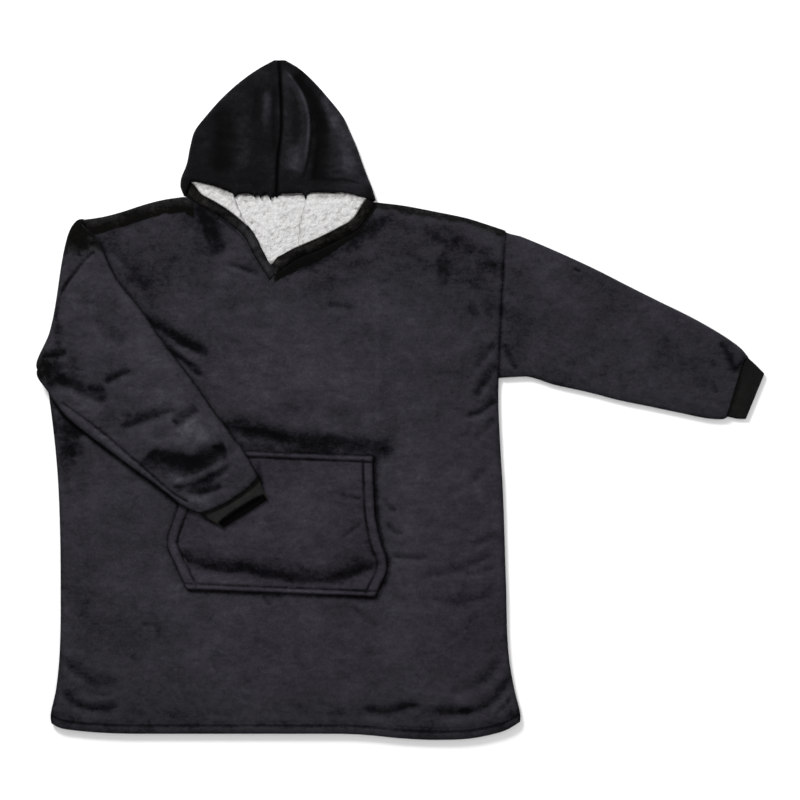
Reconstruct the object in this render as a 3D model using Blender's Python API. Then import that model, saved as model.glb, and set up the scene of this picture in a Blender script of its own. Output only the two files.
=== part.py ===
# Oversized fleece hoodie with a pile lining, laid flat with its front up and its left
# sleeve folded over the front. X runs across it, Y from hem to hood, Z up from the surface.
# The sizes and tables are in millimetres, from the hem line and the body's centre line.

import math
from collections import namedtuple

import bpy
import bmesh
from mathutils import Vector

MM = 0.001

# Thicknesses
LAYER = 8.0
SEAM_GAP = 0.3
CURVED_GAP = 1.0
TURN_GAP = 2.0
POCKET_WALL = 5.0
LINING_WALL = 4.0
SLEEVE_SLIT = 0.6
CUFF_HEIGHT = 9.4
CUFF_SLIT = 3.4
HOOD_SLIT = 2.0

# Levels of the layers above the surface
BACK_TOP = LAYER
FRONT_LOW = BACK_TOP + SEAM_GAP
FRONT_TOP = FRONT_LOW + LAYER
SLEEVE_HEIGHT = 2 * LAYER + SLEEVE_SLIT
POCKET_LOW = FRONT_TOP + SEAM_GAP
FOLD_AXIS_Z = SLEEVE_HEIGHT + SEAM_GAP
LINING_LOW = FRONT_LOW
FLAP_LOW = LINING_LOW + LINING_WALL + SEAM_GAP

# Rolled edges: how far the upper face falls at 0, 6 and 24 mm from a panel's edge
EDGE_STEPS = (6.0, 24.0)
EDGE_FALLS = (4.2, 1.6, 0.3)
FULL_RISE_CELLS = 3
HEM_STEPS = (14.0, 22.0)
HEM_GROOVE = 2.2
BACK_ROUNDING = 2.5
FRONT_HOLLOW = 3.0
FRONT_FULLNESS = 3.2
SLEEVE_FULLNESS = 3.2
POCKET_FULLNESS = 2.8
HOOD_FULLNESS = 4.0
HOOD_SEAM_DEPTH = 2.5
PEAK_THINNING = 0.75
PEAK_FADE = 5.0
HOOD_SIDE_FADE = 4.0
CREASE_ANGLE = math.radians(50)

# Flat zones round what lies on a panel, and how softly they end
FLAT_MARGIN = 44.0
POCKET_MARGIN = 28.0
FADE = 50.0

# Reference edges of the body, and how far in from them its columns lean with its sides
BODY_LEFT = -394.0
BODY_RIGHT = 405.0
LEAN_REACH = 200.0
SHOULDER_Y = 950.0

# Points of the neck on the front panel
NECK_LEFT = -172.0
NECK_TIP = -18.0
NECK_RIGHT = 176.0
PEAK_Y = 1214.0

Side = namedtuple("Side", "y left right")
BODY_SIDES = (
    Side(-12, -398, 425),
    Side(30, -412, 435),
    Side(75, -403, 425),
    Side(140, -396, 414),
    Side(270, -394, 409),
    Side(445, -398, 403),
    Side(530, -405, 398),
    Side(610, -415, 395),
    Side(655, -421, 396),
    Side(720, -397, 398),
    Side(895, -364, 407),
    Side(928, -351, 409),
)

Line = namedtuple("Line", "x y")
HEM_LINE = (
    Line(-412, 20), Line(-396, 11), Line(-367, 6), Line(-322, 2), Line(-250, 0),
    Line(110, 0), Line(167, -3), Line(217, -8), Line(283, -11), Line(340, -9),
    Line(380, -2), Line(412, 8), Line(434, 22),
)
LEFT_SHOULDER = (
    Line(-351, 927), Line(-322, 931), Line(-293, 938), Line(-236, 956),
    Line(-207, 963), Line(NECK_LEFT, 968),
)
NECKLINE_LEFT = (
    Line(NECK_LEFT, 968), Line(-157, 960), Line(-128, 945), Line(-106, 932),
    Line(-85, 916), Line(-61, 893), Line(-45, 862), Line(NECK_TIP, 815),
)
NECKLINE_RIGHT = (
    Line(NECK_TIP, 815), Line(-2, 833), Line(20, 850), Line(74, 875), Line(110, 893),
    Line(146, 916), Line(NECK_RIGHT, 958),
)
RIGHT_SHOULDER = (
    Line(NECK_RIGHT, 958), Line(225, 952), Line(283, 941), Line(340, 929),
    Line(369, 920), Line(408, 907),
)
BACK_NECK = (Line(NECK_LEFT, 968), Line(NECK_TIP, 955), Line(NECK_RIGHT, 958))

HOOD_SIDES = (
    Side(954, -168, 176),
    Side(970, -172, 172),
    Side(988, -178, 164),
    Side(1000, -176, 158),
    Side(1026, -166, 147),
    Side(1060, -159, 133),
    Side(1087, -151, 120),
    Side(1111, -133, 106),
    Side(1148, -97, 77),
    Side(1179, -61, 51),
    Side(1201, -31, 27),
    Side(PEAK_Y, -9, 10),
)
HOOD_FRONT_EDGE = (
    Line(-178, 970), Line(-161, 971), Line(-141, 993), Line(-124, 990), Line(-86, 979),
    Line(-43, 974), Line(38, 974), Line(92, 974), Line(128, 970), Line(155, 967),
    Line(176, 962),
)
HOOD_SEAM = (
    Line(-4, 954), Line(-2, 1026), Line(5, 1100), Line(4, 1152), Line(0, PEAK_Y),
)
HOOD_CORNER_Y = {"left": 970.0, "right": 962.0}
HOOD_CORNER_SPREAD = 2.0

# Sleeve sections, each a line across the flattened tube, from its lower edge to its upper one
Section = namedtuple("Section", "low_x low_y high_x high_y base height")
Numbered = namedtuple("Numbered", ("n",) + Section._fields)
RIGHT_SLEEVE = (
    Section(400, 641, 409, 907, 0, SLEEVE_HEIGHT),
    Section(443, 644, 455, 889, 0, SLEEVE_HEIGHT),
    Section(497, 629, 513, 864, 0, SLEEVE_HEIGHT),
    Section(556, 616, 571, 837, 0, SLEEVE_HEIGHT),
    Section(614, 601, 628, 808, 0, SLEEVE_HEIGHT),
    Section(668, 590, 686, 779, 0, SLEEVE_HEIGHT),
    Section(725, 578, 743, 751, 0, SLEEVE_HEIGHT),
    Section(769, 569, 794, 722, 0, SLEEVE_HEIGHT),
    Section(797, 567, 830, 697, 0, 15.5),
    Section(809, 571, 846, 679, 0, 13.0),
)
LEFT_SLEEVE = (
    Section(-421, 655, -351, 927, 17.2, SLEEVE_HEIGHT),
    Section(-412, 616, -322, 884, 17.0, SLEEVE_HEIGHT),
    Section(-385, 576, -290, 819, 17.0, SLEEVE_HEIGHT),
    Section(-355, 549, -250, 769, 17.0, SLEEVE_HEIGHT),
    Section(-322, 524, -209, 709, 18.0, SLEEVE_HEIGHT),
    Section(-277, 490, -167, 655, 20.2, SLEEVE_HEIGHT),
    Section(-236, 461, -131, 605, 22.1, SLEEVE_HEIGHT),
    Section(-200, 434, -95, 554, 22.2, SLEEVE_HEIGHT),
    Section(-173, 412, -63, 513, 22.2, 15.5),
    Section(-148, 401, -38, 470, 22.3, 13.0),
)
RIGHT_CUFF = (
    Section(809.6, 571.3, 846.2, 678.0, 1.4, CUFF_HEIGHT),
    Section(826, 568, 861, 664, 0.4, CUFF_HEIGHT),
    Section(841, 567, 875, 650, 0.0, CUFF_HEIGHT),
)
LEFT_CUFF = (
    Section(-146.9, 401.1, -38.6, 469.0, 23.2, CUFF_HEIGHT),
    Section(-118, 387, -29, 445, 22.6, CUFF_HEIGHT),
    Section(-92, 373, -19, 423, 22.1, CUFF_HEIGHT),
)
SLEEVE_SECTIONS = 16
TURN_SECTIONS = 6
SLEEVE_CELLS = 8
FOLD_SLANT = 0.24
DEEPEST = 1.5
CUFF_RIBS = 36
CUFF_RIB_HEIGHT = 0.8

POCKET_SIDES = (
    Side(254, -165, 173),
    Side(275, -176, 183),
    Side(300, -187, 194),
    Side(325, -199, 195),
    Side(348, -200, 186),
    Side(380, -190, 178),
    Side(420, -178, 173),
    Side(508, -173, 170),
)
POCKET_TILT = -0.04
POCKET_HEM = (0.0, 5.0, 14.0, 24.0)
POCKET_FALLS = (2.6, 0.0, 2.0, 0.2)

# Neckbands: width, and the lines across them at their ends
BAND_WIDTH = 19.0
LEFT_BAND_TOP = (Line(-157, 962.5), Line(-140, 981))
LEFT_BAND_TIP = (Line(-17.5, 818.5), Line(-6.5, 829))
RIGHT_BAND_START = (Line(-4.4, 830.6), Line(-13.6, 846.5))
RIGHT_BAND_END = (Line(172, 953), Line(164, 955))
BAND_PROFILE = ((0.0, 0.35), (0.16, 0.8), (0.5, 1.0), (0.84, 0.8), (1.0, 0.35))
LEFT_BAND_HEIGHT = 11.0
RIGHT_BAND_HEIGHT = 12.5

# Inner edges of the hood's two turned-in sides, where the lining shows
Edge = namedtuple("Edge", "y x")
LEFT_FLAP = (Edge(893, -42), Edge(923, -61), Edge(968, -79))
RIGHT_FLAP = (Edge(873, 32), Edge(918, 38), Edge(964, 47))
LINING_CLEARANCE = 3.2

# Cells across and along the pieces
FRONT_CELLS = (8, 5, 7, 8)
BACK_CELLS = (4, 5, 7, 4)
FRONT_ROW = 30.0
BACK_ROW = 48.0
POCKET_CELLS = (12, 9)
HOOD_CELLS = 7
HOOD_ROWS = 14
LEFT_BAND_CELLS = 8
RIGHT_BAND_CELLS = 10
LINING_CELLS = (6, 7)

# Folds: a soft ridge has a positive rise and a trough a negative one
Fold = namedtuple("Fold", "x1 y1 x2 y2 width rise")
FRONT_FOLDS = (
    Fold(-228, 743, -140, 690, 16, -3.0),
    Fold(-205, 760, -120, 712, 22, 3.0),
    Fold(-205, 707, -130, 640, 14, -2.5),
    Fold(-60, 600, 190, 566, 22, 4.0),
    Fold(-380, 133, -340, 97, 18, -2.5),
    Fold(-340, 100, -280, 95, 18, -2.5),
    Fold(-388, 74, -330, 47, 14, -3.0),
    Fold(-360, 118, -300, 78, 20, 3.0),
    Fold(155, 45, 190, 36, 18, -2.5),
    Fold(230, 50, 360, 48, 18, -2.5),
    Fold(360, 50, 405, 108, 18, -2.5),
    Fold(330, 85, 372, 120, 24, 3.0),
    Fold(176, 820, 176, 530, 26, 1.6),
    Fold(182, 322, 272, 318, 14, -1.8),
    Fold(-315, 780, -250, 850, 24, 2.4),
    Fold(5, 818, 165, 908, 14, -2.4),
    Fold(345, 590, 392, 700, 16, -2.4),
    Fold(345, 800, 392, 880, 18, -2.4),
)
HOOD_FOLDS = (
    Fold(18, 1185, 24, 1040, 16, 6.0),
    Fold(52, 1150, 66, 1010, 14, -2.6),
    Fold(-98, 1125, -98, 1010, 16, -2.4),
    Fold(-30, 1170, -32, 1040, 20, 2.4),
    Fold(100, 1080, 120, 990, 22, 2.4),
)
SLEEVE_FOLDS = (
    Fold(-241, 513, -205, 499, 18, -2.6),
    Fold(-205, 499, -124, 504, 18, -2.6),
    Fold(-313, 630, -262, 651, 18, -2.2),
    Fold(-290, 553, -205, 582, 18, -2.2),
    Fold(-390, 648, -304, 603, 16, -2.2),
    Fold(-300, 700, -230, 610, 30, 3.2),
    Fold(788, 707, 821, 648, 14, -2.4),
    Fold(844, 680, 821, 648, 14, -2.4),
    Fold(470, 690, 640, 640, 30, 1.8),
    Fold(500, 800, 700, 720, 34, 2.2),
)
POCKET_FOLDS = (
    Fold(-182, 324, -115, 300, 15, -4.5),
    Fold(-105, 298, 40, 284, 15, -4.5),
    Fold(56, 283, 175, 315, 15, -4.5),
    Fold(-90, 390, 110, 370, 60, 2.4),
)


def smooth_value(rows, key, column, at):
    """Read a column of a table between its rows, along a smooth curve."""
    keys = [getattr(row, key) for row in rows]
    values = [getattr(row, column) for row in rows]
    last = len(rows) - 1
    if at <= keys[0]:
        return values[0]
    if at >= keys[last]:
        return values[last]
    i = 0
    while keys[i + 1] < at:
        i += 1
    span = keys[i + 1] - keys[i]
    t = (at - keys[i]) / span
    slope = (values[i + 1] - values[i]) / span
    before = (values[i] - values[i - 1]) / (keys[i] - keys[i - 1]) if i > 0 else slope
    after = (values[i + 2] - values[i + 1]) / (keys[i + 2] - keys[i + 1]) if i + 2 <= last else slope
    m0 = (before + slope) / 2 if before * slope > 0 else 0.0
    m1 = (after + slope) / 2 if after * slope > 0 else 0.0
    curve = (2 * t**3 - 3 * t**2 + 1) * values[i] + (3 * t**2 - 2 * t**3) * values[i + 1]
    return curve + span * ((t**3 - 2 * t**2 + t) * m0 + (t**3 - t**2) * m1)


def line_y(line, x):
    """Height of a seam line at x, straight between its points."""
    for a, b in zip(line, line[1:]):
        if x <= b.x:
            t = max(0.0, (x - a.x) / (b.x - a.x))
            return a.y + t * (b.y - a.y)
    return line[-1].y


def mix(a, b, t):
    return a + (b - a) * t


def ease(t):
    t = min(1.0, max(0.0, t))
    return t * t * (3 - 2 * t)


def fold_rise(folds, x, y):
    """Sum of the folds at a point, each a soft ridge or trough that fades at its ends."""
    total = 0.0
    for fold in folds:
        along_x = fold.x2 - fold.x1
        along_y = fold.y2 - fold.y1
        length = math.hypot(along_x, along_y)
        t = ((x - fold.x1) * along_x + (y - fold.y1) * along_y) / length**2
        near = min(1.0, max(0.0, t))
        away = math.hypot(x - fold.x1 - near * along_x, y - fold.y1 - near * along_y)
        total += fold.rise * math.exp(-((away / fold.width) ** 2))
    return total


def distance_to_outline(points, x, y):
    """Distance from a point to an outline, and nothing inside it."""
    inside = False
    nearest = 1e9
    for (ax, ay), (bx, by) in zip(points, points[1:] + points[:1]):
        if (ay > y) != (by > y) and x < (bx - ax) * (y - ay) / (by - ay) + ax:
            inside = not inside
        length = (bx - ax) ** 2 + (by - ay) ** 2
        t = min(1.0, max(0.0, ((x - ax) * (bx - ax) + (y - ay) * (by - ay)) / length))
        nearest = min(nearest, math.hypot(x - ax - t * (bx - ax), y - ay - t * (by - ay)))
    return 0.0 if inside else nearest


def make_material(name, color, roughness):
    material = bpy.data.materials.new(name)
    material.use_nodes = True
    shader = material.node_tree.nodes["Principled BSDF"]
    shader.inputs["Base Color"].default_value = (*color, 1.0)
    shader.inputs["Roughness"].default_value = roughness
    shader.inputs["Metallic"].default_value = 0.0
    return material


def make_wall(name, outer, inner, material, closed=False):
    """A wall of cloth between two grids of points, closed along its free edges."""
    rows = len(outer)
    columns = len(outer[0])
    points = [Vector(p) * MM for grid in (outer, inner) for row in grid for p in row]
    start = rows * columns
    faces = []
    steps = columns if closed else columns - 1
    for r in range(rows - 1):
        for c in range(steps):
            d = (c + 1) % columns
            quad = (r * columns + c, r * columns + d, (r + 1) * columns + d, (r + 1) * columns + c)
            faces.append(quad)
            faces.append(tuple(start + k for k in reversed(quad)))
    for r in (0, rows - 1):
        for c in range(steps):
            a = r * columns + c
            b = r * columns + (c + 1) % columns
            faces.append((a, b, start + b, start + a))
    if not closed:
        for c in (0, columns - 1):
            for r in range(rows - 1):
                a = r * columns + c
                b = a + columns
                faces.append((a, b, start + b, start + a))
    mesh = bpy.data.meshes.new(name)
    mesh.from_pydata(points, [], faces)
    shape = bmesh.new()
    shape.from_mesh(mesh)
    bmesh.ops.recalc_face_normals(shape, faces=shape.faces)
    shape.to_mesh(mesh)
    shape.free()
    mesh.shade_smooth()
    mesh.set_sharp_from_angle(angle=CREASE_ANGLE)
    mesh.materials.append(material)
    piece = bpy.data.objects.new(name, mesh)
    piece.parent = garment
    parts.objects.link(piece)
    return piece


# Body panels


def body_columns(cells):
    """Places of the columns across the body, with one at each point of the neck."""
    marks = (BODY_LEFT, NECK_LEFT, NECK_TIP, NECK_RIGHT, BODY_RIGHT)
    places = []
    for a, b, count in zip(marks, marks[1:], cells):
        places += [mix(a, b, i / count) for i in range(count)]
    places.append(marks[-1])
    places.insert(1, marks[0] + EDGE_STEPS[0])
    places.insert(-1, marks[-1] - EDGE_STEPS[0])
    return places


def body_levels(spacing):
    """Heights of the rows on a plain column, with close ones at the hem and the top edge."""
    low = [0.0, EDGE_STEPS[0], *HEM_STEPS]
    high = SHOULDER_Y - EDGE_STEPS[1]
    count = round((high - low[-1]) / spacing)
    middle = [mix(low[-1], high, (i + 1) / count) for i in range(count)]
    levels = low + middle + [SHOULDER_Y - EDGE_STEPS[0], SHOULDER_Y]
    return [level / SHOULDER_Y for level in levels]


def top_edge(x, back):
    if x <= NECK_LEFT:
        return line_y(LEFT_SHOULDER, x)
    if x >= NECK_RIGHT:
        return line_y(RIGHT_SHOULDER, x)
    if back:
        return line_y(BACK_NECK, x) - SEAM_GAP
    return line_y(NECKLINE_LEFT if x <= NECK_TIP else NECKLINE_RIGHT, x)


def body_plan(place, level, back):
    """Plan of one point of a body panel from its column's place and its row's level."""
    left_share = ease(1 - (place - BODY_LEFT) / LEAN_REACH)
    right_share = ease(1 - (BODY_RIGHT - place) / LEAN_REACH)
    x = place
    for _ in range(3):
        low = line_y(HEM_LINE, x)
        y = mix(low, top_edge(x, back), level)
        left = smooth_value(BODY_SIDES, "y", "left", y) + SEAM_GAP
        right = smooth_value(BODY_SIDES, "y", "right", y)
        x = place + left_share * (left - BODY_LEFT) + right_share * (right - BODY_RIGHT)
    return x, y


SLEEVE_OUTLINE = [(s.low_x, s.low_y) for s in LEFT_SLEEVE + LEFT_CUFF]
SLEEVE_OUTLINE += [(s.high_x, s.high_y) for s in reversed(LEFT_SLEEVE + LEFT_CUFF)]
POCKET_OUTLINE = [(s.left, s.y + POCKET_TILT * s.left) for s in POCKET_SIDES]
POCKET_OUTLINE += [(s.right, s.y + POCKET_TILT * s.right) for s in reversed(POCKET_SIDES)]


def front_lift(x, y):
    """How far the front rises off the back: it is flat below what lies on it."""
    covered = min(distance_to_outline(o, x, y) for o in (SLEEVE_OUTLINE, POCKET_OUTLINE))
    free = ease((covered - FLAT_MARGIN) / FADE)
    return max(0.0, free * (FRONT_FULLNESS + fold_rise(FRONT_FOLDS, x, y)))


def body_front(material):
    places = body_columns(FRONT_CELLS)
    levels = body_levels(FRONT_ROW)
    outer = []
    inner = []
    for r, level in enumerate(levels):
        outer_row = []
        inner_row = []
        for c, place in enumerate(places):
            x, y = body_plan(place, level, False)
            edge = min(c, len(places) - 1 - c, r, len(levels) - 1 - r)
            fall = EDGE_FALLS[edge] if edge < len(EDGE_FALLS) else 0.0
            if r == 2:
                fall += HEM_GROOVE
            lift = front_lift(x, y) * ease(edge / FULL_RISE_CELLS)
            outer_row.append((x, y, FRONT_TOP + lift - fall))
            inner_row.append((x, y, FRONT_LOW + min(lift, FRONT_HOLLOW)))
        outer.append(outer_row)
        inner.append(inner_row)
    return make_wall("body_front", outer, inner, material)


def body_back(material):
    places = body_columns(BACK_CELLS)
    levels = body_levels(BACK_ROW)
    outer = []
    inner = []
    for r, level in enumerate(levels):
        outer_row = []
        inner_row = []
        for c, place in enumerate(places):
            x, y = body_plan(place, level, True)
            edge = min(c, len(places) - 1 - c, r, len(levels) - 1 - r)
            outer_row.append((x, y, BACK_TOP))
            inner_row.append((x, y, BACK_ROUNDING if edge == 0 else 0.0))
        outer.append(outer_row)
        inner.append(inner_row)
    return make_wall("body_back", outer, inner, material)


# Sleeves and cuffs


def flat_oval(start, end, low, high, cells):
    """Loop of a flattened tube: along its upper side from start to end, then back below."""
    radius = (high - low) / 2
    middle = (high + low) / 2
    bend = radius * math.sqrt(0.5)
    run = [mix(start + radius, end - radius, i / cells) for i in range(cells + 1)]
    upper = [(start, middle), (start + radius - bend, middle + bend)]
    upper += [(w, high) for w in run]
    upper += [(end - radius + bend, middle + bend), (end, middle)]
    lower = [(end - radius + bend, middle - bend)]
    lower += [(w, low) for w in reversed(run)]
    lower += [(start + radius - bend, middle - bend)]
    return upper + lower


def section_at(table, t):
    """A section part way along a sleeve's table."""
    numbered = [Numbered(n, *row) for n, row in enumerate(table)]
    at = t * (len(table) - 1)
    return Section(*(smooth_value(numbered, "n", column, at) for column in Section._fields))


def ring_points(section, cells):
    """Outer and inner rings of one section of a flattened sleeve."""
    width = math.hypot(section.high_x - section.low_x, section.high_y - section.low_y)
    half = section.height / 2
    loops = (
        flat_oval(0.0, width, 0.0, section.height, cells),
        flat_oval(LAYER, width - LAYER, half - SLEEVE_SLIT / 2, half + SLEEVE_SLIT / 2, cells),
    )
    rings = []
    for loop in loops:
        ring = []
        for w, h in loop:
            x = mix(section.low_x, section.high_x, w / width)
            y = mix(section.low_y, section.high_y, w / width)
            ring.append((x, y, section.base + h))
        rings.append(ring)
    return rings


def raise_top(ring, section, fullness):
    """Raise the upper side of a ring by its folds and its fullness."""
    raised = []
    width = math.hypot(section.high_x - section.low_x, section.high_y - section.low_y)
    for x, y, z in ring:
        t = math.hypot(x - section.low_x, y - section.low_y) / width
        share = math.sin(math.pi * t) ** 0.6 if 0 < t < 1 else 0.0
        upper = z > section.base + section.height / 2 + 1
        rise = share * max(-DEEPEST, fullness + fold_rise(SLEEVE_FOLDS, x, y)) if upper else 0.0
        raised.append((x, y, z + rise))
    return raised


def follow_armhole(ring):
    """Shift a ring's points onto the body's armhole seam."""
    return [(smooth_value(BODY_SIDES, "y", "right", y) + CURVED_GAP, y, z) for x, y, z in ring]


def sleeve_right(material):
    outer = []
    inner = []
    for i in range(SLEEVE_SECTIONS + 1):
        section = section_at(RIGHT_SLEEVE, i / SLEEVE_SECTIONS)
        rings = ring_points(section, SLEEVE_CELLS)
        rings[0] = raise_top(rings[0], section, SLEEVE_FULLNESS)
        if i == 0:
            rings = [follow_armhole(ring) for ring in rings]
        outer.append(rings[0])
        inner.append(rings[1])
    return make_wall("sleeve_right", outer, inner, material, closed=True)


def turn_over(ring, angle):
    """Turn a flat ring about the fold along the garment's left edge."""
    turned = []
    for _, y, z in ring:
        radius = FOLD_AXIS_Z - z
        out = radius * math.sin(angle)
        x = smooth_value(BODY_SIDES, "y", "left", y) - TURN_GAP - out
        turned.append((x, y + FOLD_SLANT * out, FOLD_AXIS_Z - radius * math.cos(angle)))
    return turned


def sleeve_left(material):
    start = LEFT_SLEEVE[0]
    stump = Section(0.0, start.low_y, 0.0, start.high_y, 0.0, SLEEVE_HEIGHT)
    outer = []
    inner = []
    for i in range(TURN_SECTIONS + 1):
        rings = [turn_over(r, math.pi * i / TURN_SECTIONS) for r in ring_points(stump, SLEEVE_CELLS)]
        outer.append(rings[0])
        inner.append(rings[1])
    for i in range(1, SLEEVE_SECTIONS + 1):
        section = section_at(LEFT_SLEEVE, i / SLEEVE_SECTIONS)
        top = 2 * section.base + section.height
        rings = [[(x, y, top - z) for x, y, z in r] for r in ring_points(section, SLEEVE_CELLS)]
        rings[0] = raise_top(rings[0], section, ease(i / FULL_RISE_CELLS) * SLEEVE_FULLNESS)
        outer.append(rings[0])
        inner.append(rings[1])
    return make_wall("sleeve_left", outer, inner, material, closed=True)


def stadium_point(run, width, height, inset):
    """A point on a flattened loop at a run along it, moved in by an inset."""
    half = height / 2
    radius = half - inset
    straight = width - height
    arc = math.pi * half
    if run < straight:
        return half + run, half + radius
    if run < straight + arc:
        angle = (run - straight) / half
        return width - half + radius * math.sin(angle), half + radius * math.cos(angle)
    if run < 2 * straight + arc:
        return width - half - (run - straight - arc), half - radius
    angle = (run - 2 * straight - arc) / half
    return half - radius * math.sin(angle), half - radius * math.cos(angle)


def cuff(name, table, material):
    """A flattened rib cuff: ribs outside, plain inside, open at both ends."""
    outer = []
    inner = []
    for section in table:
        width = math.hypot(section.high_x - section.low_x, section.high_y - section.low_y)
        rim = 2 * (width - section.height) + math.pi * section.height
        rings = ([], [])
        for k in range(2 * CUFF_RIBS):
            groove = CUFF_RIB_HEIGHT if k % 2 else 0.0
            for ring, inset in zip(rings, (groove, (section.height - CUFF_SLIT) / 2)):
                w, h = stadium_point(rim * k / (2 * CUFF_RIBS), width, section.height, inset)
                x = mix(section.low_x, section.high_x, w / width)
                y = mix(section.low_y, section.high_y, w / width)
                ring.append((x, y, section.base + h))
        outer.append(rings[0])
        inner.append(rings[1])
    return make_wall(name, outer, inner, material, closed=True)


# Pocket


def pocket_steps(cells, low, high):
    """Places of a pocket's rows or columns, close together over the hems at both ends."""
    inner_low = low + POCKET_HEM[-1]
    inner_high = high - POCKET_HEM[-1]
    steps = [low + hem for hem in POCKET_HEM[:-1]]
    steps += [mix(inner_low, inner_high, i / cells) for i in range(cells + 1)]
    steps += [high - hem for hem in reversed(POCKET_HEM[:-1])]
    return steps


def pocket(material):
    low = POCKET_SIDES[0].y
    high = POCKET_SIDES[-1].y
    outer = []
    inner = []
    levels = pocket_steps(POCKET_CELLS[1], low, high)
    for r, level in enumerate(levels):
        left = smooth_value(POCKET_SIDES, "y", "left", level)
        right = smooth_value(POCKET_SIDES, "y", "right", level)
        outer_row = []
        inner_row = []
        places = pocket_steps(POCKET_CELLS[0], left, right)
        for c, x in enumerate(places):
            y = level + POCKET_TILT * x
            edge = min(c, len(places) - 1 - c, r, len(levels) - 1 - r)
            fall = POCKET_FALLS[edge] if edge < len(POCKET_FALLS) else 0.0
            covered = distance_to_outline(SLEEVE_OUTLINE, x, y)
            free = ease((covered - POCKET_MARGIN) / POCKET_MARGIN) * ease(edge / FULL_RISE_CELLS)
            rise = free * max(-DEEPEST, POCKET_FULLNESS + fold_rise(POCKET_FOLDS, x, y))
            outer_row.append((x, y, POCKET_LOW + POCKET_WALL + rise - fall))
            inner_row.append((x, y, POCKET_LOW))
        outer.append(outer_row)
        inner.append(inner_row)
    return make_wall("pocket", outer, inner, material)


# Hood


def half_oval(reach, low, high):
    """Open loop of a folded layer: upper side out to the fold, then back along the lower side.

    The third value of a point says how far it belongs to the upper side."""
    half = (high - low) / 2
    radius = min(half, 0.6 * reach)
    bend = math.sqrt(0.5)
    run = [mix(0.0, reach - radius, i / HOOD_CELLS) for i in range(HOOD_CELLS + 1)]
    loop = [(w, high, 1.0) for w in run]
    loop.append((reach - radius + radius * bend, low + half + half * bend, 0.8))
    loop.append((reach, low + half, 0.5))
    loop.append((reach - radius + radius * bend, low + half - half * bend, 0.2))
    loop += [(w, low, 0.0) for w in reversed(run)]
    return loop


def hood_half(name, side, material):
    """One half of the hood, its two layers joined along the outer fold."""
    column = "left" if side < 0 else "right"
    outer = []
    inner = []
    for r in range(HOOD_ROWS + 1):
        v = r / HOOD_ROWS
        thinning = mix(1.0, PEAK_THINNING, v**3)
        height = (2 * LAYER + HOOD_SLIT) * thinning
        slit = HOOD_SLIT * thinning
        for grid, margin, low, high in (
            (outer, 0.0, 0.0, height),
            (inner, LAYER, (height - slit) / 2, (height + slit) / 2),
        ):
            points = []
            for k in range(2 * HOOD_CELLS + 5):
                y = HOOD_CORNER_Y[column]
                for _ in range(4):
                    width = abs(hood_side_x(column, y) - hood_seam_x(y))
                    w, z, share = half_oval(width - min(margin, width / 2), low, high)[k]
                    x = hood_seam_x(y) + side * max(w, SEAM_GAP / 2)
                    y = mix(hood_bottom(column, x, share), PEAK_Y, v)
                if margin == 0.0 and share == 1.0:
                    z += hood_rise(x, y, w / width) * ease((1 - v) * PEAK_FADE)
                points.append((x, y, z))
            grid.append(points)
    return make_wall(name, outer, inner, material)


def hood_side_x(column, y):
    return smooth_value(HOOD_SIDES, "y", column, y)


def hood_seam_x(y):
    return smooth_value(HOOD_SEAM, "y", "x", y)


def hood_bottom(column, x, share):
    """Lower edge of the hood: the neck seam below, the front edge above, a corner between."""
    if share == 1.0:
        return line_y(HOOD_FRONT_EDGE, x)
    if share == 0.0:
        return line_y(BACK_NECK, x) + CURVED_GAP
    return HOOD_CORNER_Y[column] + (share - 0.5) * HOOD_CORNER_SPREAD


def hood_rise(x, y, out):
    seam = -HOOD_SEAM_DEPTH if out < 0.05 else 0.0
    return seam + ease((1 - out) * HOOD_SIDE_FADE) * max(0.0, HOOD_FULLNESS + fold_rise(HOOD_FOLDS, x, y))


# Neckbands and the lining that shows in the neck


def offset_line(points, distance):
    """Move a line of points to its left by a distance."""
    moved = []
    for i, (x, y) in enumerate(points):
        ax, ay = points[max(0, i - 1)]
        bx, by = points[min(len(points) - 1, i + 1)]
        length = math.hypot(bx - ax, by - ay)
        moved.append((x - (by - ay) / length * distance, y + (bx - ax) / length * distance))
    return moved


def band_edges(line, first, last, cells, start, end):
    """Outer and inner edge of a neckband in plan, along the front panel's own neckline."""
    places = [mix(first, last, i / cells) for i in range(cells + 1)]
    seam = [(x, line_y(line, x)) for x in places]
    outer = offset_line(seam, CURVED_GAP)
    inner = offset_line(seam, BAND_WIDTH)
    outer[0], inner[0] = start
    outer[-1], inner[-1] = end
    return outer, inner


LEFT_BAND = band_edges(NECKLINE_LEFT, NECK_LEFT, NECK_TIP, LEFT_BAND_CELLS, LEFT_BAND_TOP, LEFT_BAND_TIP)
RIGHT_BAND = band_edges(
    NECKLINE_RIGHT, NECK_TIP, NECK_RIGHT, RIGHT_BAND_CELLS, RIGHT_BAND_START, RIGHT_BAND_END
)


def neckband(name, edges, height, material):
    outer = []
    inner = []
    for (ax, ay), (bx, by) in zip(*edges):
        outer.append([(mix(ax, bx, t), mix(ay, by, t), LINING_LOW + height * h) for t, h in BAND_PROFILE])
        inner.append([(mix(ax, bx, t), mix(ay, by, t), LINING_LOW) for t, _ in BAND_PROFILE])
    return make_wall(name, outer, inner, material)


def edge_x(points, y):
    """Where an edge of a neckband lies at a height."""
    for (ax, ay), (bx, by) in zip(points, points[1:]):
        if min(ay, by) <= y <= max(ay, by):
            return mix(ax, bx, (y - ay) / (by - ay))
    return points[0][0] if abs(points[0][1] - y) < abs(points[-1][1] - y) else points[-1][0]


def left_band_x(y):
    return edge_x(LEFT_BAND[1], y) + LINING_CLEARANCE


def right_band_x(y):
    return edge_x(RIGHT_BAND[1], y) - LINING_CLEARANCE


def left_flap_x(y):
    return smooth_value(LEFT_FLAP, "y", "x", y)


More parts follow.
